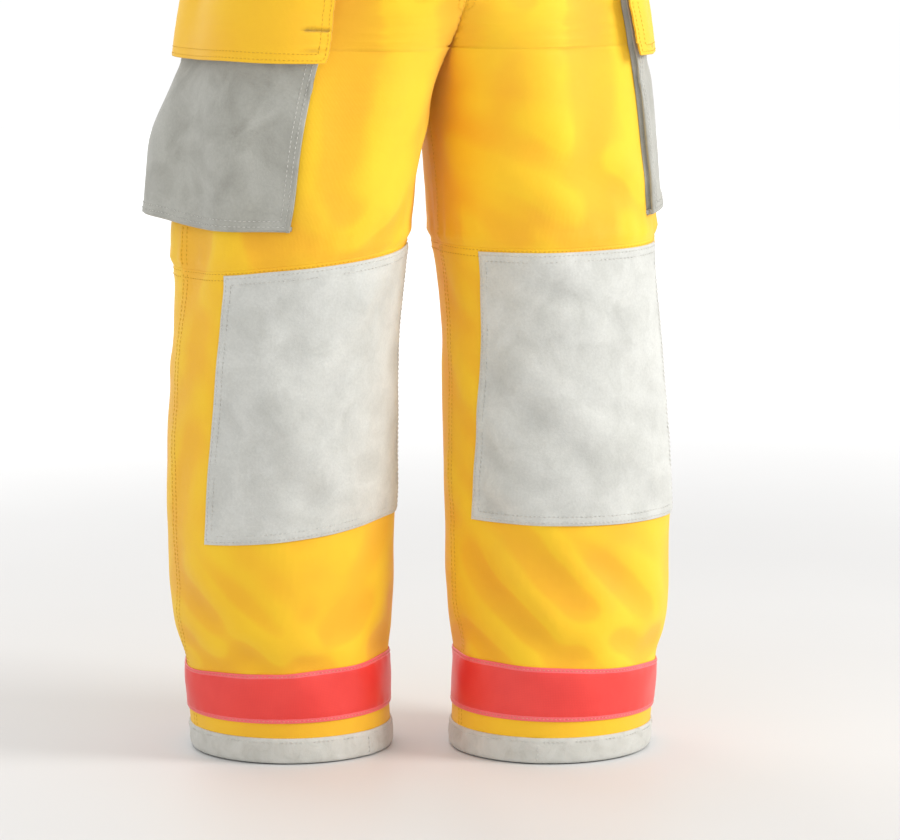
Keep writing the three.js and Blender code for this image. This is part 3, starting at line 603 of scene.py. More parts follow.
def shell_finish():
    """Yellow plain-weave aramid, with painted shade: deeper orange in its creases and paler on its ridges."""
    finish = Finish("shell_cloth", 0.68, sheen=0.12)
    cloud = finish.noise(finish.object, 9, 4)
    base = finish.ramp(cloud, [(0.3, srgb(244, 188, 8)), (0.5, srgb(249, 199, 12)),
                               (0.72, srgb(252, 207, 22))])
    # painted shade: low relief, in the drape's creases, tints the yellow towards orange
    crease = finish.ramp(finish.attribute("relief"), [(0.0, srgb(226, 140, 8)), (0.42, srgb(246, 192, 12)),
                                                      (0.6, (1, 1, 1, 1)), (1.0, (1, 1, 1, 1))])
    base_with_painted_crease_shade = finish.blend("MULTIPLY", 0.32, base, crease)
    across = finish.threads("X", 0.0011)
    up = finish.threads("Y", 0.0011)
    weave = finish.math("MULTIPLY", across, up)
    grain = finish.noise(finish.uv, 2600, 2)
    shade = finish.ramp(grain, [(0.3, grey(0.93)), (0.7, grey(1.0))])
    finish.colour(finish.blend("MULTIPLY", 1.0, base_with_painted_crease_shade, shade))
    broad = finish.bump(finish.noise(finish.object, 55, 4, 0.6), 0.0012, 0.35)
    finish.normal(finish.bump(weave, 0.00022, 0.55, broad))
    finish.roughness(finish.ramp(cloud, [(0.3, grey(0.62)), (0.7, grey(0.76))]))
    return finish.material


def suede_finish(name, light, dark, tint=1.0):
    """Split-leather suede: blotchy nap, darker where it is rubbed the other way, and darker where the relief
    attribute is low, which is painted crease shade on the knee patches.
    """
    finish = Finish(name, 0.93, sheen=0.25)
    blotch = finish.noise(finish.object, 26, 6, 0.62, 0.6)
    streak = finish.noise(finish.object, 7, 4, 0.55, 1.2)
    nap = finish.noise(finish.object, 420, 4, 0.7)
    base = finish.ramp(blotch, [(0.2, dark), (0.62, light), (0.8, light)])
    broad = finish.ramp(streak, [(0.3, grey(0.93)), (0.62, grey(1.0))])
    fine = finish.ramp(nap, [(0.3, grey(0.9)), (0.7, grey(1.03))])
    # painted shade: low relief darkens the suede; on the knee patches it follows the drape's creases, on the
    # pockets it is random tone
    relief = finish.ramp(finish.attribute("relief"), [(0.15, grey(0.88)), (0.5, grey(1.0)), (1.0, grey(1.0))])
    mixed = finish.blend("MULTIPLY", 1.0, base, broad)
    mixed = finish.blend("MULTIPLY", 1.0, mixed, fine)
    finish.colour(finish.blend("MULTIPLY", tint, mixed, relief))
    rough = finish.bump(blotch, 0.0010, 0.4)
    finish.normal(finish.bump(nap, 0.0004, 0.6, rough))
    return finish.material


def leather_finish():
    """Pale split leather of the cuff binding: fine grain, scuffed darker in spots."""
    finish = Finish("binding_leather", 0.72, sheen=0.1)
    scuff = finish.noise(finish.object, 60, 6, 0.65, 0.8)
    pore = finish.node("ShaderNodeTexVoronoi", feature="F1")
    pore.inputs["Scale"].default_value = 900
    finish.link(finish.object, pore.inputs["Vector"])
    base = finish.ramp(scuff, [(0.2, srgb(176, 176, 168)), (0.45, srgb(195, 195, 188)),
                               (0.7, srgb(205, 205, 199))])
    finish.colour(base)
    finish.normal(finish.bump(pore.outputs["Distance"], 0.00025, 0.5, finish.bump(scuff, 0.0006, 0.4)))
    return finish.material


def band_finish(name, colour, edge):
    """Fluorescent trim tape: a smooth coated face with a fine mesh of cells under it."""
    finish = Finish(name, 0.42)
    finish.shader.inputs["Coat Weight"].default_value = 0.2
    finish.shader.inputs["Coat Roughness"].default_value = 0.35
    cloud = finish.noise(finish.object, 14, 4)
    base = finish.ramp(cloud, [(0.3, edge), (0.6, colour)])
    cells = finish.math("MULTIPLY", finish.threads("X", 0.0016), finish.threads("Y", 0.0016))
    shade = finish.ramp(cells, [(0.0, grey(0.94)), (1.0, grey(1.02))])
    finish.colour(finish.blend("MULTIPLY", 1.0, base, shade))
    finish.normal(finish.bump(cells, 0.0001, 0.35, finish.bump(cloud, 0.001, 0.2)))
    return finish.material


def thread_finish(name, colour):
    finish = Finish(name, 0.6)
    twist = finish.noise(finish.object, 3000, 2)
    dark = tuple(0.7 * c for c in colour[:3]) + (1.0,)
    finish.colour(finish.ramp(twist, [(0.3, dark), (0.7, colour)]))
    finish.normal(finish.bump(twist, 0.0001, 0.4))
    return finish.material


def webbing_finish():
    """Black narrow webbing with a herringbone of thick yarns, with painted shade between the yarns and
    painted highlight on them.
    """
    finish = Finish("webbing", 0.85, sheen=0.15)
    yarn = finish.math("MULTIPLY", finish.threads("DIAGONAL", 0.0024), finish.threads("Y", 0.0016))
    wear = finish.noise(finish.object, 40, 5)
    base = finish.ramp(wear, [(0.3, srgb(26, 26, 25)), (0.7, srgb(48, 47, 44))])
    # painted shade and highlight: the yarns' bump height darkens the grooves and lightens the crowns
    shade = finish.ramp(yarn, [(0.0, grey(0.5)), (1.0, grey(1.15))])
    finish.colour(finish.blend("MULTIPLY", 1.0, base, shade))
    finish.normal(finish.bump(yarn, 0.0004, 0.8))
    return finish.material


def pile_finish(name, scale, depth):
    """Hook or loop tape: a dense pile of little dark loops, with painted shade between them."""
    finish = Finish(name, 0.95, sheen=0.3)
    cells = finish.node("ShaderNodeTexVoronoi", feature="F1")
    cells.inputs["Scale"].default_value = scale
    finish.link(finish.object, cells.inputs["Vector"])
    height = cells.outputs["Distance"]
    # painted shade: colour follows the loops' height, paler on their crowns and darker in the gaps between
    # them
    finish.colour(finish.ramp(height, [(0.1, srgb(62, 62, 60)), (0.7, srgb(18, 18, 18))]))
    finish.normal(finish.bump(finish.math("SUBTRACT", 1.0, height), depth, 0.9))
    return finish.material


def liner_finish():
    """Quilted thermal liner: a slate face cloth over batting, with painted shade in the quilting's sewn
    hollows.
    """
    finish = Finish("liner_cloth", 0.86, sheen=0.2)
    weave = finish.math("MULTIPLY", finish.threads("X", 0.0009), finish.threads("Y", 0.0009))
    cloud = finish.noise(finish.object, 30, 4)
    base = finish.ramp(cloud, [(0.3, srgb(52, 61, 76)), (0.7, srgb(72, 83, 100))])
    # painted shade: low relief, along the quilting's sewn lines, darkens the cloth
    relief = finish.ramp(finish.attribute("relief"), [(0.0, grey(0.55)), (0.5, grey(1.0))])
    finish.colour(finish.blend("MULTIPLY", 1.0, base, relief))
    finish.normal(finish.bump(weave, 0.0002, 0.6))
    return finish.material


def barrier_finish():
    """Moisture barrier: a cream film on a thin knit."""
    finish = Finish("barrier_film", 0.5)
    cloud = finish.noise(finish.object, 50, 4)
    knit = finish.math("MULTIPLY", finish.threads("X", 0.0007), finish.threads("Y", 0.0010))
    finish.colour(finish.ramp(cloud, [(0.3, srgb(206, 203, 188)), (0.7, srgb(224, 221, 208))]))
    finish.normal(finish.bump(knit, 0.00012, 0.4, finish.bump(cloud, 0.0008, 0.3)))
    return finish.material


def pad_finish():
    finish = Finish("pad_foam", 0.95)
    cells = finish.noise(finish.object, 900, 3)
    finish.colour(finish.ramp(cells, [(0.3, srgb(52, 52, 50)), (0.7, srgb(88, 88, 84))]))
    finish.normal(finish.bump(cells, 0.0006, 0.7))
    return finish.material


def plastic_finish():
    finish = Finish("buckle_plastic", 0.42)
    spark = finish.noise(finish.object, 1600, 3)
    finish.colour(finish.ramp(finish.noise(finish.object, 60, 4),
                              [(0.3, srgb(24, 24, 24)), (0.7, srgb(36, 36, 35))]))
    finish.normal(finish.bump(spark, 0.00012, 0.5))
    return finish.material


def metal_finish():
    finish = Finish("nickel", 0.32, metallic=1.0)
    brush = finish.noise(finish.object, 260, 5, 0.7)
    finish.colour(finish.ramp(brush, [(0.3, srgb(150, 150, 147)), (0.7, srgb(196, 196, 192))]))
    finish.roughness(finish.ramp(brush, [(0.3, grey(0.22)), (0.7, grey(0.44))]))
    finish.normal(finish.bump(brush, 0.00006, 0.5))
    return finish.material


def floor_finish():
    finish = Finish("floor_paint", 0.55)
    cloud = finish.noise(finish.object, 1.5, 3)
    near = finish.ramp(cloud, [(0.3, grey(0.70)), (0.7, grey(0.72))])
    reach = finish.node("ShaderNodeVectorMath", operation="LENGTH")
    finish.link(finish.object, reach.inputs[0])
    # painted light: from 1 m out to 4 m the floor fades to white and glows
    far = finish.node("ShaderNodeMapRange", interpolation_type="SMOOTHSTEP")
    far.inputs["From Min"].default_value = 1.0
    far.inputs["From Max"].default_value = 4.0
    finish.link(reach.outputs["Value"], far.inputs["Value"])
    finish.colour(finish.blend("MIX", far.outputs["Result"], near, grey(1.0)))
    finish.shader.inputs["Emission Color"].default_value = grey(1.0)
    glow = finish.math("MULTIPLY", far.outputs["Result"], 0.35)
    finish.link(glow, finish.shader.inputs["Emission Strength"])
    return finish.material


SHELL_CLOTH = shell_finish()
SUEDE = suede_finish("knee_suede", srgb(209, 210, 205), srgb(188, 189, 183))
# painted shade: a darker copy of the knee suede, its colours matched to the pockets in shade
POCKET_SUEDE_IN_PAINTED_SHADE = suede_finish("pocket_suede", srgb(176, 176, 168), srgb(146, 145, 136))
BINDING = leather_finish()
BAND = band_finish("band_tape", srgb(238, 60, 52), srgb(228, 48, 44))
BAND_EDGE = band_finish("band_edge", srgb(248, 106, 112), srgb(243, 92, 98))
LINER = liner_finish()
BARRIER = barrier_finish()
PAD = pad_finish()
WEBBING = webbing_finish()
LOOP_PILE = pile_finish("loop_pile", 900, 0.0006)
HOOK_PILE = pile_finish("hook_pile", 620, 0.0005)
PLASTIC = plastic_finish()
METAL = metal_finish()
YELLOW_THREAD = thread_finish("yellow_thread", srgb(240, 190, 40))
GREY_THREAD = thread_finish("grey_thread", srgb(222, 221, 214))
PINK_THREAD = thread_finish("pink_thread", srgb(250, 160, 140))
DARK_THREAD = thread_finish("dark_thread", srgb(50, 52, 56))


# ------------------------------------------------------------------ mesh building

class Piece:
    """Vertices and faces of one piece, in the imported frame's metres."""

    def __init__(self, name):
        self.name = name
        self.points = []
        self.faces = []
        self.face_materials = []
        self.uvs = []
        self.relief = []
        self.materials = []
        self.count = 0
        self.grids = []

    def material_index(self, material):
        if material not in self.materials:
            self.materials.append(material)
        return self.materials.index(material)

    def add_points(self, points, uv=None, relief=None):
        points = np.asarray(points, float).reshape(-1, 3)
        first = self.count
        self.points.append(points)
        self.count += len(points)
        self.uvs.append(np.zeros((len(points), 2)) if uv is None else np.asarray(uv).reshape(-1, 2))
        self.relief.append(np.full(len(points), 0.5) if relief is None else np.asarray(relief).ravel())
        return first

    def add_faces(self, faces, material):
        index = self.material_index(material)
        self.faces.extend(faces)
        self.face_materials.extend([index] * len(faces))

    def sheet(self, outer, thickness, material, side=1, wrap=False, relief=None, under=None,
              column_materials=None, row_materials=None):
        """A closed sheet with rounded edges. outer holds rows by columns of points, in millimetres;
        side is 1 or -1 for the way that it faces, and under the material of its back."""
        outer = np.asarray(outer, float)
        rows, columns = outer.shape[:2]
        padded = np.concatenate([outer[:, -1:], outer, outer[:, :1]], axis=1) if wrap else outer
        around = np.gradient(padded, axis=1)
        around = around[:, 1:-1] if wrap else around
        up = np.gradient(outer, axis=0)
        normals = unit(np.cross(around, up)) * side
        step_u = np.linalg.norm(np.diff(outer, axis=1), axis=-1).mean(axis=0) * MM
        step_v = np.linalg.norm(np.diff(outer, axis=0), axis=-1).mean(axis=1) * MM
        u = np.concatenate([[0], np.cumsum(step_u)])
        v = np.concatenate([[0], np.cumsum(step_v)])
        uv = np.stack(np.meshgrid(u, v), axis=-1)
        self.grids.append((outer, wrap))
        top = self.add_points(to_frame(outer), uv, relief)
        low = self.add_points(to_frame(outer - normals * thickness), uv, relief)
        last = columns if wrap else columns - 1
        under = under or material
        for r in range(rows - 1):
            for c in range(last):
                d = (c + 1) % columns
                quad = [r * columns + c, r * columns + d, (r + 1) * columns + d, (r + 1) * columns + c]
                if side < 0:
                    quad.reverse()
                shown = material
                if row_materials is not None:
                    shown = row_materials[r]
                if column_materials is not None:
                    shown = column_materials[c]
                self.add_faces([tuple(top + i for i in quad)], shown)
                self.add_faces([tuple(low + i for i in reversed(quad))], under)
        border = [] if wrap else [
            ([r * columns for r in range(rows)], -1),
            ([r * columns + columns - 1 for r in range(rows)], 1),
        ]
        across = list(range(columns)) + ([0] if wrap else [])
        border += [(across, 1), ([(rows - 1) * columns + c for c in across], -1)]
        flat_outer = outer.reshape(-1, 3)
        flat_normals = normals.reshape(-1, 3)
        for k, (line, way) in enumerate(border):
            is_column = not wrap and k < 2
            inward = np.array([
                flat_outer[i + (1 if way < 0 else -1)] - flat_outer[i] if is_column
                else flat_outer[i + (columns if way > 0 else -columns)] - flat_outer[i]
                for i in line
            ])
            bulge = flat_outer[line] - flat_normals[line] * thickness / 2 - unit(inward) * thickness * 0.35
            middle = self.add_points(to_frame(bulge), uv.reshape(-1, 2)[line])
            for n in range(len(line) - 1):
                a, b = line[n], line[n + 1]
                first = (top + a, top + b, middle + n + 1, middle + n)
                second = (middle + n, middle + n + 1, low + b, low + a)
                if way * side * (1 if is_column else -1) < 0:
                    first, second = first[::-1], second[::-1]
                edge = material
                if column_materials is not None and not is_column:
                    edge = column_materials[min(n, len(column_materials) - 1)]
                self.add_faces([first, second], edge)

    def stitches(self, points, normals, material, length=3.0, gap=1.3, width=0.75):
        """A row of stitches along a line of points, all in millimetres."""
        points = np.asarray(points, float)
        run = np.concatenate([[0], np.cumsum(np.linalg.norm(np.diff(points, axis=0), axis=1))])
        count = int(run[-1] / (length + gap))
        if count < 2:
            return
        starts = (np.arange(count) + 0.15) * run[-1] / count
        def along(values, at):
            return np.stack([np.interp(at, run, values[:, k]) for k in range(3)], axis=-1)
        a = along(points, starts)
        b = along(points, starts + length)
        n = unit(along(np.asarray(normals, float), starts + length / 2))
        aside = unit(np.cross(b - a, n)) * width / 2
        crown = (a + b) / 2 + n * width * 0.55
        mid_a = mix(a, b, 0.22)
        mid_b = mix(a, b, 0.78)
        corners = np.stack([
            a - n * 0.15, mid_a + aside, mid_a - aside, mid_a + n * width * 0.5,
            mid_b + aside, mid_b - aside, mid_b + n * width * 0.5, b - n * 0.15, crown,
        ], axis=1)
        first = self.add_points(to_frame(corners))
        shape = [(0, 1, 3), (0, 3, 2), (1, 4, 6, 3), (3, 6, 5, 2), (4, 7, 6), (6, 7, 5),
                 (0, 2, 1), (1, 2, 5, 4), (4, 5, 7)]
        faces = [tuple(first + 9 * k + i for i in face) for k in range(count) for face in shape]
        self.add_faces(faces, material)

    def build(self, body, nodes):
        """The finished object, riding on its body in place of its CAD nodes."""
        mesh = bpy.data.meshes.new(self.name)
        points = np.concatenate(self.points)
        mesh.from_pydata(points.tolist(), [], self.faces)
        for material in self.materials:
            mesh.materials.append(material)
        mesh.polygons.foreach_set("material_index", self.face_materials)
        corner_points = np.empty(len(mesh.loops), np.int32)
        mesh.loops.foreach_get("vertex_index", corner_points)
        layer = mesh.uv_layers.new(name="cloth")
        layer.data.foreach_set("uv", np.concatenate(self.uvs)[corner_points].astype(np.float32).ravel())
        # on the shell panels, knee patches and liners, relief is the mask of their painted shade
        attribute = mesh.attributes.new("relief", "FLOAT", "POINT")
        attribute.data.foreach_set("value", np.concatenate(self.relief).astype(np.float32))
        mesh.polygons.foreach_set("use_smooth", [True] * len(mesh.polygons))
        mesh.update()
        mesh.validate()
        piece = bpy.data.objects.new(self.name, mesh)
        bpy.context.scene.collection.objects.link(piece)
        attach(piece, body)
        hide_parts(*nodes)
        self.object = piece
        return piece

    def flat_size(self):
        """Width, length and area of the cloth before it was sewn and draped, in metres."""
        outer, wrap = self.grids[0]
        if wrap:
            outer = np.concatenate([outer, outer[:, :1]], axis=1)
        steps = np.linalg.norm(np.diff(outer, axis=1), axis=-1)
        rises = np.linalg.norm(np.diff(outer, axis=0), axis=-1)
        width = steps.sum(axis=1).max() * MM
        length = rises.sum(axis=0).max() * MM
        cells = (steps[:-1] + steps[1:]) / 2 * (rises[:, :-1] + rises[:, 1:]) / 2
        area = cells.sum() * MM * MM
        return (float(width), float(length)), float(min(area, width * length))


def declare(piece):
    flat, area = piece.flat_size()


# ------------------------------------------------------------------ pieces on the legs

def steps(low, high, step):
    """Evenly spaced values no further apart than the step, with a close pair at each end."""
    count = max(2, int(math.ceil((high - low) / step)))
    values = np.linspace(low, high, count + 1)
    near = 0.12 * (values[1] - values[0])
    return np.concatenate([[values[0], values[0] + near], values[1:-1], [values[-1] - near, values[-1]]])


def relief_of(leg, z, angle):
    """How far the draped surface stands above (over 0.5) or below the cloth round it."""
    # these values mask the painted crease shade of the shell cloth and the knee suede
    def level(dz, da):
        return np.sum(leg.sag_at(np.clip(z + dz, 0, WAISTBAND_BOTTOM), angle + da) * leg.normal(z, angle), -1)
    here = level(0, 0)
    near = (level(22, 0) + level(-22, 0) + level(0, 0.2) + level(0, -0.2)) / 4
    return np.clip(0.5 + (here - near) * 0.16, 0, 1)


def sew(piece, leg, z, angle, offset, thread, *stitch):
    """A row of stitches at an offset from the draped face."""
    points = leg.place(z, angle, np.broadcast_to(offset, np.shape(z)))
    piece.stitches(points, leg.normal(z, angle), thread, *stitch)


def open_frame(front, back, bottom, top, inset, count):
    """Sewn rows down one side, along the bottom and up the other, as degrees and heights."""
    first, last = front + inset / HIP_ARC, back - inset / HIP_ARC
    corners = [(first, top - 2), (first, bottom + inset), (last, bottom + inset), (last, top - 2)]
    t = np.linspace(0, 1, count)
    for (degrees_0, z_0), (degrees_1, z_1) in zip(corners, corners[1:]):
        yield mix(degrees_0, degrees_1, t), mix(z_0, z_1, t)


def gathers(leg, z, angle, height, fade, seed):
    """Puckers above or below a seam where more cloth was eased in than it needs."""
    wander = 0.35 * np.sin(3 * angle + seed) + 0.2 * np.sin(7.3 * angle + 2 * seed)
    pleat = np.sin(31 * angle + 6 * wander + 0.012 * (z - leg.knee_seam))
    pleat = pleat + 0.5 * np.sin(53 * angle + seed + 9 * wander)
    strength = 0.55 + 0.45 * np.sin(2.1 * angle + seed)
    distance = np.abs(z - leg.knee_seam)
    rise = smooth(0, 9, distance) * np.exp(-distance / fade)
    return height * rise * strength * (0.8 + 0.8 * pleat)


def shell_offset(leg, part, which, z, angle, share):
    """Relief of a shell panel over the draped face: its felled seams and its gathers."""
    offset = np.zeros(np.broadcast(z, angle).shape)
    seam = np.minimum(share, 2 - share) if which == "back" else share
    outseam = np.abs(1 - share)
    fell = 12
    if which == "front":
        offset = offset + 0.55 * (1 - smooth(fell - 1.2, fell, outseam * HALF_GIRTH))
        offset = offset + 0.55 * (1 - smooth(fell - 1.2, fell, seam * HALF_GIRTH))
    if part == "thigh":
        offset = offset + gathers(leg, z, angle, 2.0, 26, 1.3 + leg.sign)
        above = z - leg.knee_seam
        offset = offset + np.exp(-(((above - 9) / 6) ** 2)) * smooth(0, 3, above)
    else:
        offset = offset - 0.5 * (1 - smooth(2, 9, leg.knee_seam - z))
        offset = offset + 0.5 * (1 - smooth(10, 11.5, leg.knee_seam - z))
    pucker = 0.25 * np.sin(z / 2.9 + 5 * share) * np.exp(-(np.minimum(outseam, seam) * HALF_GIRTH / 14) ** 2)
    return offset + pucker


def shell_panel(leg, part, which):
    low, high = (TRIM + GAP, leg.knee_seam - SEAM_HALF_GAP)
    if part == "thigh":
        low, high = (leg.knee_seam + SEAM_HALF_GAP, WAISTBAND_BOTTOM)
    z = steps(low, high, 4.5)
    if part == "thigh":
        crotch = INSEAM + RISE_CURVE * np.array([0, 0.06, 0.14, 0.25, 0.4, 0.6, 0.8])
        z = np.unique(np.concatenate([z, crotch]))
    z = z[:, None]
    first = 0 if which == "front" else 1
    trim = SEAM_HALF_GAP / HALF_GIRTH
    share = np.clip(first + steps(0, 1, 1 / 66), first + trim, first + 1 - trim)[None, :]
    angle = leg.panel_angle(z, share)
    full_z = z + 0 * angle
    offset = shell_offset(leg, part, which, full_z, angle, share + 0 * z)
    outer = leg.place(full_z, angle, offset)
    kind = "thigh" if part == "thigh" else "lower_leg"
    name = f"{leg.name}_{kind}_{which}_panel"
    piece = Piece(name + "_cloth")
    # relief: where the shell cloth's painted crease shade goes
    relief = relief_of(leg, full_z, angle)
    piece.sheet(outer, SHELL, SHELL_CLOTH, leg.sign, relief=relief)
    lines = []
    if which == "front":
        near, far = 2.2 / HALF_GIRTH, 9.5 / HALF_GIRTH
        lines = [1 - near, 1 - far, near, far]
    for at in lines:
        line_z = np.arange(low + 3, min(high - 3, WAISTBAND_BOTTOM - 4), 3.0)
        if part == "thigh" and at == near:
            line_z = line_z[line_z > INSEAM + RISE_CURVE]
        line_angle = leg.panel_angle(line_z, np.full(len(line_z), first + at))
        line_share = np.full(len(line_z), first + at)
        height = shell_offset(leg, part, which, line_z, line_angle, line_share) + 0.15
        sew(piece, leg, line_z, line_angle, height, YELLOW_THREAD)
    cross = [leg.knee_seam - 2.6, leg.knee_seam - 8.6] if part == "lower" else []
    for row in cross:
        line_share = np.linspace(first + 0.01, first + 0.99, 120)
        line_z = np.full(120, row)
        line_angle = leg.panel_angle(line_z, line_share)
        height = shell_offset(leg, part, which, line_z, line_angle, line_share) + 0.15
        sew(piece, leg, line_z, line_angle, height, YELLOW_THREAD)
    piece.build("trousers", [name])
    declare(piece)


def inner_layer(leg, kind, material, offset, thickness, quilt=0.0):
    """Barrier or liner of one leg: a sheet closed along the inseam, and open above it."""
    name = f"{leg.name}_{kind}"
    z = steps(55, WAISTBAND_BOTTOM - 3, 5)[:, None]
    trim = SEAM_HALF_GAP / HALF_GIRTH
    share = np.clip(steps(0, 2, 1 / 60), trim, 2 - trim)[None, :]
    angle = leg.panel_angle(z, share)
    full_z = z + 0 * angle
    slack = 4 * smooth(INSEAM - 35, INSEAM, full_z) * (1 - smooth(HIP_LINE, WAISTBAND_BOTTOM - 35, full_z))
    depth = offset - slack
    relief = None
    if quilt:
        side_length = 46
        across = share * HALF_GIRTH
        a = np.abs(np.sin(math.pi * (across + full_z) / (2 * side_length)))
        b = np.abs(np.sin(math.pi * (across - full_z) / (2 * side_length)))
        puff = np.minimum(a, b) ** 0.55
        # relief: mask of the liner's painted shade in the quilting's hollows
        relief = np.clip(0.15 + 0.6 * puff, 0, 1)
        inside = leg.place(full_z, angle, depth - thickness - quilt * (puff - 0.5))
        piece = Piece(name + "_cloth")
        piece.sheet(inside, thickness - 0.6, material, -leg.sign, relief=relief)
    else:
        piece = Piece(name + "_cloth")
        piece.sheet(leg.place(full_z, angle, depth), thickness, material, leg.sign)
    piece.build("trousers", [name])
    declare(piece)


def knee_pad(leg):
    """A foam pad with a rounded face, quilted in three channels."""
    middle = (leg.patch_bottom + leg.patch_top) / 2
    z = np.linspace(middle - 95, middle + 95, 41)[:, None]
    angle = np.radians(np.linspace(PATCH_INNER_ANGLE + 2, PATCH_OUTER_ANGLE - 2, 45))[None, :]
    u = np.abs(np.linspace(-1, 1, 45))[None, :]
    v = np.abs(np.linspace(-1, 1, 41))[:, None]
    crown = np.clip(1 - u**8, 0, 1) * np.clip(1 - v**8, 0, 1)
    channel = np.exp(-((np.mod((z - middle + 95) / 63.3 + 0.5, 1) - 0.5) * 63.3 / 4) ** 2)
    full_z = z + 0 * angle
    inside = leg.place(full_z, angle + 0 * z, -8.6 - 4.6 * crown * (1 - 0.6 * channel))
    piece = Piece(f"{leg.name}_knee_pad_foam")
    piece.sheet(inside, 0.6, PAD, -leg.sign)
    outside = leg.place(full_z, angle + 0 * z, -7.9 + 0 * full_z)
    piece.sheet(outside, 0.6, PAD, leg.sign)
    piece.build("trousers", [f"{leg.name}_knee_pad"])


def patch_edge(leg, z):
    """Outer edge of the knee patch: it is cut a little wider at the bottom than at the top."""
    share = (z - leg.patch_bottom) / PATCH_HEIGHT
    return PATCH_OUTER_ANGLE + mix(1.5, -5.0, share)


def patch_inner_edge(leg, z):
    """Inner edge of the knee patch: on the left leg it leans outward towards the top."""
    share = (z - leg.patch_bottom) / PATCH_HEIGHT
    return PATCH_INNER_ANGLE + (mix(-2.0, 12.0, share) if leg.sign > 0 else 0 * share)


def knee_patch(leg):
    v = steps(0, 1, 1 / 72)[:, None]
    u = steps(0, 1, 1 / 66)[None, :]
    z = mix(leg.patch_bottom, leg.patch_top, v) + 0 * u
    degrees = mix(patch_inner_edge(leg, z), patch_edge(leg, z), u)
    angle = np.radians(degrees)
    width = HALF_GIRTH * (PATCH_OUTER_ANGLE - PATCH_INNER_ANGLE) / 180
    inset = np.minimum(np.minimum(u, 1 - u) * width, np.minimum(v, 1 - v) * PATCH_HEIGHT)
    turned = 0.5 * smooth(0, 1.2, inset) + 0.5 * (1 - smooth(8.5, 10.5, inset)) * smooth(0, 2, inset)
    along = np.sin(z / 3.4 + 2 * np.sin(z / 19))
    pucker = 0.35 * (along + np.sin(degrees * 0.61 + 2 * np.sin(degrees / 7)))
    points = leg.base(z, angle)
    rub = 0.9 * rough_cloth(points, 30, 8.1 * leg.sign)
    offset = 0.1 + TRIM + turned + (pucker * np.exp(-((inset - 7) / 7) ** 2) + rub) * smooth(0, 14, inset)
    outer = leg.place(z, angle, np.maximum(offset, 0.6))
    piece = Piece(f"{leg.name}_knee_patch_suede")
    # relief: the drape's creases, for painted shade, plus random rubbed tone
    relief = np.clip(relief_of(leg, z, angle) + 0.25 * rub, 0, 1)
    piece.sheet(outer, TRIM, SUEDE, leg.sign, relief=relief)
    for row in (3.0, 9.0):
        du = row / width
        dv = row / PATCH_HEIGHT
        corners = [(du, dv), (1 - du, dv), (1 - du, 1 - dv), (du, 1 - dv), (du, dv)]
        for (u0, v0), (u1, v1) in zip(corners, corners[1:]):
            t = np.linspace(0, 1, 110)
            line_z = mix(leg.patch_bottom, leg.patch_top, mix(v0, v1, t))
            inner, outer_edge = patch_inner_edge(leg, line_z), patch_edge(leg, line_z)
            line_angle = np.radians(mix(inner, outer_edge, mix(u0, u1, t)))
            sew(piece, leg, line_z, line_angle, TRIM + 1.05, GREY_THREAD, *GREY_STITCH)
    piece.build("trousers", [f"{leg.name}_knee_patch"])
    declare(piece)


def leg_band(leg):
    """Trim tape all round the leg: a red-orange face between two paler sewn edges."""
    edge = 4.2
    z = np.concatenate([
        BAND_BOTTOM + np.array([0, 0.5, 2.0, edge - 0.3, edge]), np.linspace(48, 87, 10),
        BAND_TOP - np.array([edge, edge - 0.3, 2.0, 0.5, 0]),
    ])[:, None]
    angle = np.linspace(0, 2 * np.pi, 144, endpoint=False)[None, :]
    full_z = z + 0 * angle
    inset = np.minimum(full_z - BAND_BOTTOM, BAND_TOP - full_z)
    pucker = 0.3 * np.sin(46 * angle + 2 * np.sin(5 * angle)) * np.exp(-((inset - 4) / 6) ** 2)
    rise = (full_z - BAND_BOTTOM) / (BAND_TOP - BAND_BOTTOM)
    wave = 0.8 * np.sin(9 * angle + leg.sign) * np.sin(np.pi * rise)
    lift = 0.45 * smooth(edge - 0.3, edge + 1.2, inset)
    offset = 0.15 + TRIM * 0.8 + lift + (pucker + wave) * smooth(0, 5, inset)
    outer = leg.place(full_z, angle + 0 * z, np.maximum(offset, 0.9))
    rows = [BAND_EDGE if (z[k, 0] + z[k + 1, 0]) / 2 - BAND_BOTTOM < edge
            or BAND_TOP - (z[k, 0] + z[k + 1, 0]) / 2 < edge else BAND for k in range(len(z) - 1)]
    piece = Piece(f"{leg.name}_leg_band_tape")
    piece.sheet(outer, 1.1, BAND_EDGE, leg.sign, wrap=True, row_materials=rows)
    turn = np.linspace(0, 2 * np.pi, 240)
    for row in (BAND_BOTTOM + 2.1, BAND_TOP - 2.1):
        sew(piece, leg, np.full(240, row), turn, 0.2 + TRIM, PINK_THREAD, 2.8, 1.2, 0.8)
    piece.build("trousers", [f"{leg.name}_leg_band"])
    declare(piece)


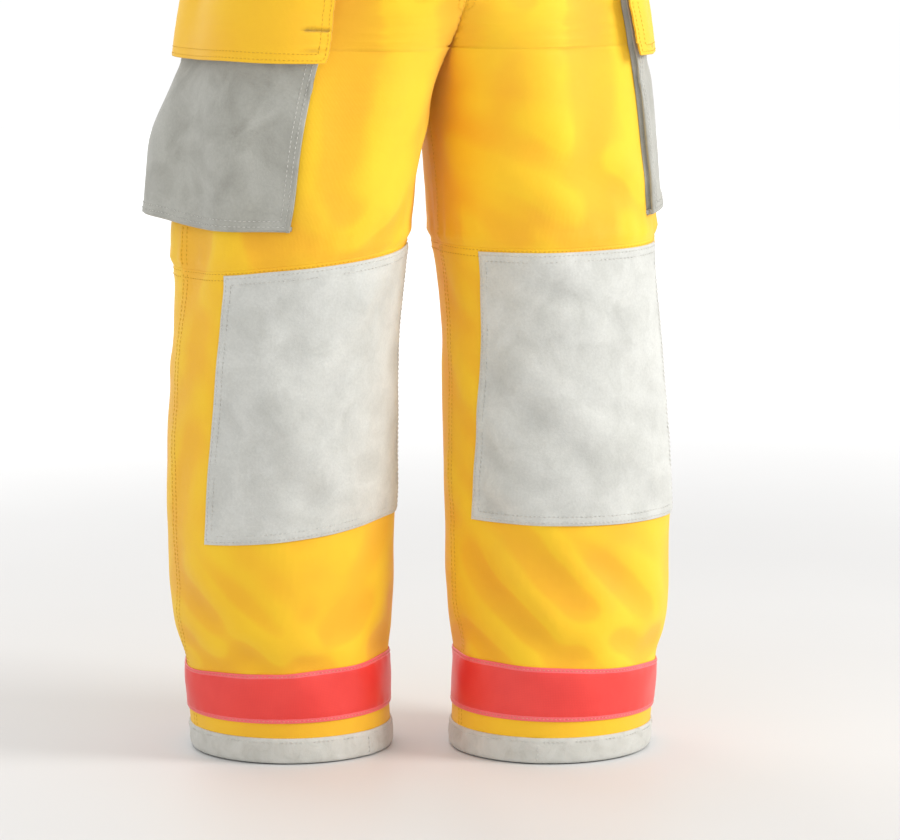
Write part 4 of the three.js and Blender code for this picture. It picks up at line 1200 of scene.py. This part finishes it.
def cuff_binding(leg):
    """Leather folded round the hem, stitched along its upper edge, its ends lapped at the inseam."""
    inner = -SHELL - GAP - TRIM
    outside = [(BINDING_HEIGHT, 0.5), (BINDING_HEIGHT - 0.6, 1.6), (22, 1.9), (17, 2.1), (11, 2.2), (6, 2.0),
               (3, 1.6), (1.0, 0.7)]
    foot = [(0.0, -1.0), (1.0, inner + 0.4)]
    inside = [(3, inner - 0.1), (9, inner - 0.2), (16, inner - 0.2), (BINDING_HEIGHT - 0.6, inner),
              (BINDING_HEIGHT, inner + 0.8)]
    section = np.array(outside + foot + inside)[::-1]
    angle = np.linspace(0, 2 * np.pi, 144, endpoint=False)[None, :]
    z = section[:, :1] + 0 * angle
    offset = section[:, 1:] + 0 * angle
    wrinkle = 0.45 * np.sin(21 * angle + z / 6 + leg.sign) + 0.3 * np.sin(37 * angle - z / 4)
    lap = 0.8 * np.exp(-((np.degrees(angle) - 58) / 5) ** 8) * (offset > 0)
    offset = offset + wrinkle * smooth(1, 8, z) * smooth(0, 4, BINDING_HEIGHT - z) * np.sign(offset) + lap
    outer = leg.place(z, angle + 0 * z, offset)
    foot_rise = smooth(2, 20, z)
    outer[..., 2] = mix(np.maximum(z, 0.4), outer[..., 2], foot_rise)
    outer[..., 2] = np.maximum(outer[..., 2], 0.4)
    piece = Piece(f"{leg.name}_cuff_binding_leather")
    piece.sheet(outer, 1.2, BINDING, leg.sign, wrap=True)
    turn = np.linspace(0, 2 * np.pi, 240)
    sew(piece, leg, np.full(240, BINDING_HEIGHT - 4.0), turn, 2.1, GREY_THREAD, *GREY_STITCH)
    lap_z = np.linspace(3, BINDING_HEIGHT - 5, 12)
    sew(piece, leg, lap_z, np.full(12, math.radians(60.5)), 3.0, GREY_THREAD, 2.6, 1.2, 0.85)
    piece.build("trousers", [f"{leg.name}_cuff_binding"])
    declare(piece)


# ------------------------------------------------------------------ thigh pockets

POCKET_RISE = 12        # of the lower back corner over the lower front one


def pocket_depth(leg, degrees, z):
    full = mix(POCKET_FRONT_DEPTH, POCKET_BACK_DEPTH, smooth(150, 200, degrees - leg.pocket_turn))
    return mix(full, POCKET_MOUTH_DEPTH, smooth(POCKET_BOTTOM + 63, FLAP_BOTTOM, z))


# A pocket's edge, from the seam on the leg over the folded bellows to the front face:
# distance in from the edge (mm) and share of the depth.
POCKET_EDGE = [(0.0, 0.02), (0.3, 0.18), (4.0, 0.42), (4.2, 0.55), (0.4, 0.80), (0.1, 0.93), (1.2, 1.03),
               (3.2, 1.06), (5.0, 1.0), (9.0, 1.0)]


def pocket_point(leg, degrees, z, share, offset_more=0.0):
    angle = leg.hanging_angle(z, degrees)
    u = (degrees - leg.pocket_front) / (leg.pocket_back - leg.pocket_front)
    v = (z - POCKET_BOTTOM) / (POCKET_TOP - POCKET_BOTTOM)
    z = z + POCKET_RISE * u * (1 - v)
    belly = 3.5 * np.sin(np.pi * np.clip(u, 0, 1)) * np.sin(np.pi * np.clip(v * 1.15 + 0.05, 0, 1)) ** 0.8
    crease = 2.2 * np.exp(-(((v - 0.62) * 210 - 22 * np.sin(2.6 * u)) / 12) ** 2)
    dent = 1.6 * np.sin(5.1 * u + 2.0 * v + leg.sign) * np.sin(3.1 * v + 1.0)
    soft = (belly - crease + dent) * smooth(0.9, 1.0, share)
    depth = 0.3 + (pocket_depth(leg, degrees, z) - 0.3) * share + soft + offset_more
    return leg.place(z, angle, np.maximum(depth, 0.25)), leg.normal(z, angle)


def pocket_grid(leg, rows_v, columns_u):
    edge = np.array(POCKET_EDGE)
    span = (POCKET_BACK_ANGLE - POCKET_FRONT_ANGLE) * HIP_ARC
    inner = [(x, 1.0) for x in np.linspace(12, span - 12, columns_u)]
    across = np.array(POCKET_EDGE + inner + [(span - d, s) for d, s in edge[::-1]])
    height = POCKET_TOP - POCKET_BOTTOM
    up = np.array(POCKET_EDGE + [(y, 1.0) for y in np.linspace(13, height, rows_v)])
    degrees = leg.pocket_front + across[:, 0][None, :] / HIP_ARC + 0 * up[:, :1]
    z = POCKET_BOTTOM + up[:, :1] + 0 * across[:, 0][None, :]
    share = np.minimum(across[:, 1][None, :], up[:, 1:2])
    return degrees, z, share


def thigh_pocket(leg):
    degrees, z, share = pocket_grid(leg, 44, 50)
    outer, _ = pocket_point(leg, degrees, z, share)
    piece = Piece(f"{leg.name}_thigh_pocket_suede")
    rub = rough_cloth(outer, 40, 2.2)
    piece.sheet(outer, 1.5, POCKET_SUEDE_IN_PAINTED_SHADE, leg.sign, relief=np.clip(0.5 + 0.3 * rub, 0, 1))
    for inset in (4.5, 9.5):
        rows = open_frame(leg.pocket_front, leg.pocket_back, POCKET_BOTTOM, POCKET_TOP, inset, 110)
        for line_degrees, line_z in rows:
            points, normals = pocket_point(leg, line_degrees, line_z, np.ones(110), 0.25)
            piece.stitches(points, normals, GREY_THREAD, *GREY_STITCH)
    piece.build("trousers", [f"{leg.name}_thigh_pocket"])
    declare(piece)


LOOP_OUTER = POCKET_MOUTH_DEPTH + GAP + 1
HOOK_OUTER = LOOP_OUTER + GAP + 1
FLAP_INNER = HOOK_OUTER + GAP


def pocket_tape(leg, kind, offset, material, body):
    z = steps(FLAP_BOTTOM + 8, FLAP_BOTTOM + 46, 4)[:, None]
    degrees = steps(148, leg.pocket_back - 10, 1.6)[None, :]
    full_z = z + 0 * degrees
    more = offset - POCKET_MOUTH_DEPTH
    outer, _ = pocket_point(leg, degrees + 0 * z, full_z, np.ones(full_z.shape), more)
    piece = Piece(f"{leg.name}_{kind}_pile")
    piece.sheet(outer, 1.0, material, leg.sign)
    piece.build(body, [f"{leg.name}_{kind}"])


def flap_point(leg, degrees, z, more=0.0):
    """Outer face of a pocket flap: it hangs over the pocket and turns in to its seam at the top."""
    middle = (leg.pocket_front + leg.pocket_back) / 2
    sewn = 1 - smooth(18, 40, np.abs(degrees - middle))
    hanging = FLAP_INNER + 3.6
    top = mix(7.0, 2.2, sewn)
    offset = mix(hanging, top, smooth(FLAP_TOP - 20, FLAP_TOP, z))
    u = (degrees - leg.pocket_front) / (leg.pocket_back - leg.pocket_front)
    v = (z - FLAP_BOTTOM) / (FLAP_TOP - FLAP_BOTTOM)
    wave = 1.4 * np.sin(6.3 * u + 1.0 + leg.sign) * (1 - v) ** 1.5 + 1.0 * np.sin(11 * u) * (1 - v) ** 2
    belly = 3.0 * np.sin(np.pi * np.clip(u, 0, 1)) * smooth(0, 0.5, 1 - v)
    angle = leg.hanging_angle(z, degrees)
    return leg.place(z, angle, offset + belly + wave + 1.2 + more), leg.normal(z, angle)


def pocket_flap(leg):
    front = leg.pocket_front - 2
    back = leg.pocket_back + 2
    z = steps(FLAP_BOTTOM, FLAP_TOP, 3.2)[:, None]
    degrees = steps(front, back, 1.6)[None, :]
    full_z = z + 0 * degrees
    outer, _ = flap_point(leg, degrees + 0 * z, full_z)
    piece = Piece(f"{leg.name}_pocket_flap_cloth")
    piece.sheet(outer, 2.0, SHELL_CLOTH, leg.sign)
    for inset in (2.6, 8.6):
        for line_degrees, line_z in open_frame(front, back, FLAP_BOTTOM, FLAP_TOP, inset, 100):
            points, normals = flap_point(leg, line_degrees, line_z, 0.1)
            piece.stitches(points, normals, YELLOW_THREAD)
    t = np.linspace(0.02, 0.98, 120)
    for drop in (3, 9):
        points, normals = flap_point(leg, mix(front, back, t), np.full(120, FLAP_TOP - drop), 0.1)
        piece.stitches(points, normals, YELLOW_THREAD)
    piece.build(f"{leg.name}_flap", [f"{leg.name}_pocket_flap"])
    declare(piece)


# ------------------------------------------------------------------ waist and fly

def waist_place(turn, z, offset):
    """A point at the waist by its turn from the front middle line (degrees, + to the left leg)."""
    turn, z, offset = np.broadcast_arrays(*(np.asarray(v, float) for v in (turn, z, offset)))
    theta = np.radians(turn)

    def on_ring(height, angle):
        _, half_width, front, back, _ = ring_at(height)
        depth = np.where(np.cos(angle) > 0, front, back)
        return np.stack([half_width * np.sin(angle), -depth * np.cos(angle), height], axis=-1)

    around = on_ring(z, theta + 0.01) - on_ring(z, theta - 0.01)
    up = on_ring(np.minimum(z + 1, WAIST_TOP), theta) - on_ring(z - 1, theta)
    normal = unit(np.cross(around, up))
    return on_ring(z, theta) + normal * offset[..., None], normal


def fly_place(x, z, offset):
    half_width = ring_at(z)[1]
    return waist_place(np.degrees(np.arcsin(np.asarray(x) / half_width)), z, offset)


def waistband():
    end = math.degrees(0.4 / WAIST_HALF_WIDTH)
    z = steps(WAISTBAND_BOTTOM + GAP, WAIST_TOP, 2.6)[:, None]
    turn = steps(end, 360 - end, 1.5)[None, :]
    v = (z - WAISTBAND_BOTTOM) / 44
    quilt = 0.5 * np.sin(np.pi * v) ** 0.5
    pucker = 0.3 * np.sin(np.radians(turn) * 71 + 2 * np.sin(np.radians(turn) * 9))
    near_row = np.exp(-((z - WAISTBAND_BOTTOM - 5) / 5) ** 2) + np.exp(-((z - WAIST_TOP + 5) / 5) ** 2)
    outer, _ = waist_place(turn + 0 * z, z + 0 * turn, 0.55 + quilt + pucker * near_row)
    piece = Piece("waistband_cloth")
    piece.sheet(outer, 3.6, SHELL_CLOTH, 1, under=LINER)
    around = np.linspace(1.0, 359.0, 500)
    for height in (WAISTBAND_BOTTOM + 3, WAISTBAND_BOTTOM + 9, WAIST_TOP - 4):
        points, normals = waist_place(around, np.full(500, height), 1.05)
        piece.stitches(points, normals, YELLOW_THREAD)
    piece.build("trousers", ["waistband"])
    declare(piece)


def fly_strip(name, from_x, to_x, low, high, outer_offset, thickness, material, body, slot, sewn=None):
    z = steps(low, high, 4)[:, None]
    x = steps(from_x, to_x, 1.6)[None, :]
    outer, _ = fly_place(x + 0 * z, z + 0 * x, outer_offset)
    piece = Piece(name + ("_pile" if slot == "tape" else "_cloth"))
    piece.sheet(outer, thickness, material, 1)
    if sewn is not None:
        line_z = np.arange(low + 3, high - 3, 3.0)
        for at in (from_x + 2, to_x - 2):
            points, normals = fly_place(np.full(len(line_z), at), line_z, outer_offset + 0.1)
            piece.stitches(points, normals, sewn)
    piece.build(body, [name])
    return piece


def fly_flap():
    """The fly flap: a double layer whose left edge turns down to the seam that it swings on."""
    low, high = FLY_BOTTOM - FLY_HANG, WAIST_TOP - 2
    path = np.array([(-24, 5.6), (-23.2, 6.1), (-18, 6.3), (-10, 6.5), (0, 6.6), (10, 6.5), (18, 6.2),
                     (21, 5.7), (22.8, 4.6), (23.7, 3.4), (24, 2.6)])
    run = np.linspace(0, len(path) - 1, 46)
    x = np.interp(run, np.arange(len(path)), path[:, 0])[None, :]
    offset = np.interp(run, np.arange(len(path)), path[:, 1])[None, :]
    z = steps(low, high, 3.2)[:, None]
    wave = 0.5 * np.sin(z / 17) * np.exp(-((x + 24) / 16) ** 2)
    outer, _ = fly_place(x + 0 * z, z + 0 * x, offset + wave)
    piece = Piece("fly_flap_cloth")
    piece.sheet(outer, 1.9, SHELL_CLOTH, 1)
    line_z = np.arange(low + 3, high - 2, 3.0)
    for at in (-21.6, -15.6, 12.0, 18.0):
        height = np.interp(at, path[:, 0], path[:, 1]) + 0.1
        line_wave = 0.5 * np.sin(line_z / 17) * math.exp(-(((at + 24) / 16) ** 2))
        points, normals = fly_place(np.full(len(line_z), at), line_z, height + line_wave)
        piece.stitches(points, normals, YELLOW_THREAD)
    line_x = np.linspace(-21.6, 18, 20)
    for line in (low + 3, high - 3):
        height = np.interp(line_x, path[:, 0], path[:, 1]) + 0.2
        points, normals = fly_place(line_x, np.full(20, float(line)), height)
        piece.stitches(points, normals, YELLOW_THREAD)
    piece.build("fly", ["fly_flap"])
    declare(piece)


STRAP_GROUND = 1 + GAP
STRAP = 1.3
STRAP_OVER = STRAP_GROUND + STRAP + 2.4 + 4 * GAP
STRAP_MIDDLE = (WAISTBAND_BOTTOM + WAIST_TOP) / 2
STRAP_HALF = 13


def hairpin(name, sign, end, fold, tail):
    """Webbing that runs along the waistband, round a buckle bar and back on itself."""
    way = 1 if end > fold else -1
    radius = (STRAP_OVER - STRAP_GROUND) / 2
    turn_radius = radius * math.degrees(1 / WAIST_HALF_DEPTH)
    centre_turn = fold + way * turn_radius
    lower = [(t, STRAP_GROUND + STRAP) for t in np.linspace(end, centre_turn, 26)]
    bend = [(centre_turn - way * turn_radius * math.sin(a),
             STRAP_GROUND + STRAP + radius - radius * math.cos(a) - 0.2 * math.sin(a))
            for a in np.linspace(0, math.pi, 12)[1:-1]]
    upper = [(t, STRAP_OVER + STRAP * 0.9) for t in np.linspace(centre_turn, tail, 18)]
    path = np.array(lower + bend + upper)
    across = np.concatenate([[-1, -0.94], np.linspace(-0.85, 0.85, 9), [0.94, 1]])
    z = across[:, None] * STRAP_HALF + STRAP_MIDDLE
    rib = 0.12 * np.cos((z - STRAP_MIDDLE) * 2 * math.pi / 5)
    outer, _ = waist_place(sign * path[:, 0][None, :] + 0 * z, z + 0 * path[:, 0][None, :],
                           path[:, 1][None, :] + rib)
    piece = Piece(name + "_webbing")
    piece.sheet(outer, STRAP * 0.8, WEBBING, sign * way * -1)
    box = 9 * math.degrees(1 / WAIST_HALF_DEPTH)
    near = end - way * 1.2
    far = end - way * box
    corners = [(near, -10), (far, -10), (far, 10), (near, 10), (near, -10), (far, 10), (far, -10), (near, 10)]
    for (a0, z0), (a1, z1) in zip(corners, corners[1:]):
        t = np.linspace(0, 1, 14)
        points, normals = waist_place(sign * mix(a0, a1, t), STRAP_MIDDLE + mix(z0, z1, t),
                                      STRAP_GROUND + STRAP + 0.15)
        piece.stitches(points, normals, DARK_THREAD, 2.4, 1.0, 0.7)
    piece.build("trousers", [name])


def turned_button(name, outline, sides=48):
    """A turned metal button that stands where its CAD node is, with its rim rounded."""
    corners = np.array([v.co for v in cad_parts[name].data.vertices])
    centre = corners.mean(axis=0)
    _, _, directions = np.linalg.svd(corners - centre)
    axis = directions[2]
    if axis @ (centre - np.array([0, 0, centre[2]])) < 0:
        axis = -axis
    if name.endswith(("snap_1", "snap_2")):
        low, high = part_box(name.split("_")[0] + "_leg_band")
        if axis @ (np.array(Vector(low) + Vector(high)) / 2 - centre) < 0:
            axis = -axis
    foot = centre + axis * ((corners - centre) @ axis).min()
    side = unit(np.cross(axis, [0.0, 0.0, 1.0]))
    up = np.cross(side, axis)
    angle = np.linspace(0, 2 * np.pi, sides, endpoint=False)
    ring = np.cos(angle)[:, None] * side + np.sin(angle)[:, None] * up
    points = [foot + axis * outline[0][1] * MM]
    for radius, height in outline[1:-1]:
        points.extend(foot + ring * radius * MM + axis * height * MM)
    points.append(foot + axis * outline[-1][1] * MM)
    faces = [(0, 1 + (k + 1) % sides, 1 + k) for k in range(sides)]
    for r in range(len(outline) - 3):
        a = 1 + r * sides
        faces += [(a + k, a + (k + 1) % sides, a + sides + (k + 1) % sides, a + sides + k)
                  for k in range(sides)]
    a = 1 + (len(outline) - 3) * sides
    faces += [(a + k, a + (k + 1) % sides, len(points) - 1) for k in range(sides)]
    piece = Piece(name + "_metal")
    piece.add_points(points)
    piece.add_faces(faces, METAL)
    piece.build("trousers", [name])


BUTTON_OUTLINE = [(0, 0), (3, 0), (3, 1.7), (3.6, 2.0), (8.0, 2.1), (8.4, 2.5), (8.5, 3.2), (8.2, 4.0),
                  (7.4, 4.4), (6.4, 4.2), (5.9, 3.6), (4.6, 3.5), (3.2, 3.7), (0, 3.9)]
SNAP_OUTLINE = [(0, 0), (5.6, 0), (6, 0.4), (5.9, 1.0), (4.9, 1.5), (4.2, 2.2), (3.2, 2.4), (2.6, 2.0),
                (2.2, 1.2), (0, 1.1)]


def buckle(name):
    """The CAD's slide buckle keeps its shape, with moulded, rounded edges."""
    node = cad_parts[name]
    node.data.materials.clear()
    node.data.materials.append(PLASTIC)
    rounding = node.modifiers.new("rounded", "BEVEL")
    rounding.width = 0.0007
    rounding.segments = 3
    rounding.limit_method = "ANGLE"


# ------------------------------------------------------------------ the object

LEGS = [
    Leg("right", -1, 365, 0, (0.05, 0.09, 0.11), RIGHT_FOLDS),
    Leg("left", 1, 372, 18, (0.05, 0.01, -0.02), LEFT_FOLDS),
]
for leg in LEGS:
    drape(leg)
    for which in ("front", "back"):
        shell_panel(leg, "lower", which)
        shell_panel(leg, "thigh", which)
    inner_layer(leg, "moisture_barrier", BARRIER, -1.9, 0.9)
    inner_layer(leg, "thermal_liner", LINER, -3.2, 3.6, quilt=2.4)
    knee_pad(leg)
    knee_patch(leg)
    leg_band(leg)
    cuff_binding(leg)
    thigh_pocket(leg)
    pocket_tape(leg, "pocket_loop_tape", LOOP_OUTER, LOOP_PILE, "trousers")
    pocket_tape(leg, "flap_hook_tape", HOOK_OUTER, HOOK_PILE, f"{leg.name}_flap")
    pocket_flap(leg)
    hairpin(f"{leg.name}_take_up_strap", leg.sign, 145, 92.5, 125)
    hairpin(f"{leg.name}_buckle_tab", leg.sign, 65, 87.5, 70)
    buckle(f"{leg.name}_buckle")
    for number in (1, 2):
        turned_button(f"{leg.name}_front_suspender_button_{number}", BUTTON_OUTLINE)
        turned_button(f"{leg.name}_back_suspender_button_{number}", BUTTON_OUTLINE)
        turned_button(f"{leg.name}_liner_snap_{number}", SNAP_OUTLINE)

waistband()
shield = fly_strip("fly_shield", -SHIELD_HALF_WIDTH, SHIELD_HALF_WIDTH, FLY_BOTTOM, WAISTBAND_BOTTOM - 1,
                   GAP + TRIM, TRIM, SHELL_CLOTH, "trousers", "shell", YELLOW_THREAD)
declare(shield)
fly_strip("fly_loop_tape", *FLY_TAPE, GAP + TRIM, TRIM, LOOP_PILE, "trousers", "tape")
fly_strip("fly_hook_tape", *FLY_TAPE, 2 * (GAP + TRIM), TRIM, HOOK_PILE, "fly", "tape")
fly_flap()


# ------------------------------------------------------------------ floor, light and camera

def lamp(name, place, target, size, power, colour=(1, 1, 1)):
    light = bpy.data.lights.new(name, "AREA")
    light.shape = "SQUARE"
    light.size = size
    light.energy = power
    light.color = colour
    lamp_object = bpy.data.objects.new(name, light)
    lamp_object.location = place
    lamp_object.rotation_euler = (Vector(target) - Vector(place)).to_track_quat("-Z", "Y").to_euler()
    bpy.context.scene.collection.objects.link(lamp_object)


def stage():
    mesh = bpy.data.meshes.new("floor")
    half = 12
    corners = [(-half, -half, 0), (half, -half, 0), (half, half, 0), (-half, half, 0)]
    mesh.from_pydata(corners, [], [(0, 1, 2, 3)])
    mesh.materials.append(floor_finish())
    floor = bpy.data.objects.new("floor", mesh)
    floor.location.z = -0.0005
    bpy.context.scene.collection.objects.link(floor)
    mesh = bpy.data.meshes.new("backdrop")
    around = [(9 * math.cos(a), 9 * math.sin(a)) for a in np.linspace(0, 2 * math.pi, 64, endpoint=False)]
    wall = [(x, y, 0) for x, y in around] + [(x, y, 6) for x, y in around]
    mesh.from_pydata(wall, [], [(k, (k + 1) % 64, 64 + (k + 1) % 64, 64 + k) for k in range(64)])
    paper = Finish("backdrop_paper", 1.0)
    paper.shader.inputs["Base Color"].default_value = grey(0.0)
    paper.shader.inputs["Emission Color"].default_value = grey(1.0)
    paper.shader.inputs["Emission Strength"].default_value = 1.0
    mesh.materials.append(paper.material)
    backdrop = bpy.data.objects.new("backdrop", mesh)
    bpy.context.scene.collection.objects.link(backdrop)
    world = bpy.data.worlds.new("studio")
    world.use_nodes = True
    world.node_tree.nodes["Background"].inputs["Color"].default_value = (1, 1, 1, 1)
    world.node_tree.nodes["Background"].inputs["Strength"].default_value = 0.72
    bpy.context.scene.world = world
    middle = (0, 0, 0.45)
    lamp("key", (2.6, -1.9, 2.0), middle, 1.2, 82, (1.0, 0.98, 0.95))
    lamp("fill", (-2.6, -1.6, 1.2), middle, 2.2, 5, (1.0, 0.93, 0.85))
    lamp("back", (-0.6, 2.8, 2.2), middle, 2.0, 25)
    bpy.context.scene.view_settings.view_transform = "Standard"


AZIMUTH = math.radians(-21.5)
PITCH = math.radians(8.3)
DISTANCE = 3.8
AIM_HEIGHT = 0.327
AIM_ASIDE = 0.033
LENS = 153


def camera():
    data = bpy.data.cameras.new("camera")
    data.lens = LENS
    data.sensor_width = 36
    aside = Vector((math.cos(AZIMUTH), math.sin(AZIMUTH), 0))
    target = Vector((0, 0, AIM_HEIGHT)) + aside * AIM_ASIDE
    level = math.cos(PITCH)
    back = Vector((math.sin(AZIMUTH) * level, -math.cos(AZIMUTH) * level, math.sin(PITCH)))
    eye = bpy.data.objects.new("camera", data)
    eye.location = target + back * DISTANCE
    eye.rotation_euler = (-back).to_track_quat("-Z", "Y").to_euler()
    bpy.context.scene.collection.objects.link(eye)
    bpy.context.scene.camera = eye


stage()
camera()
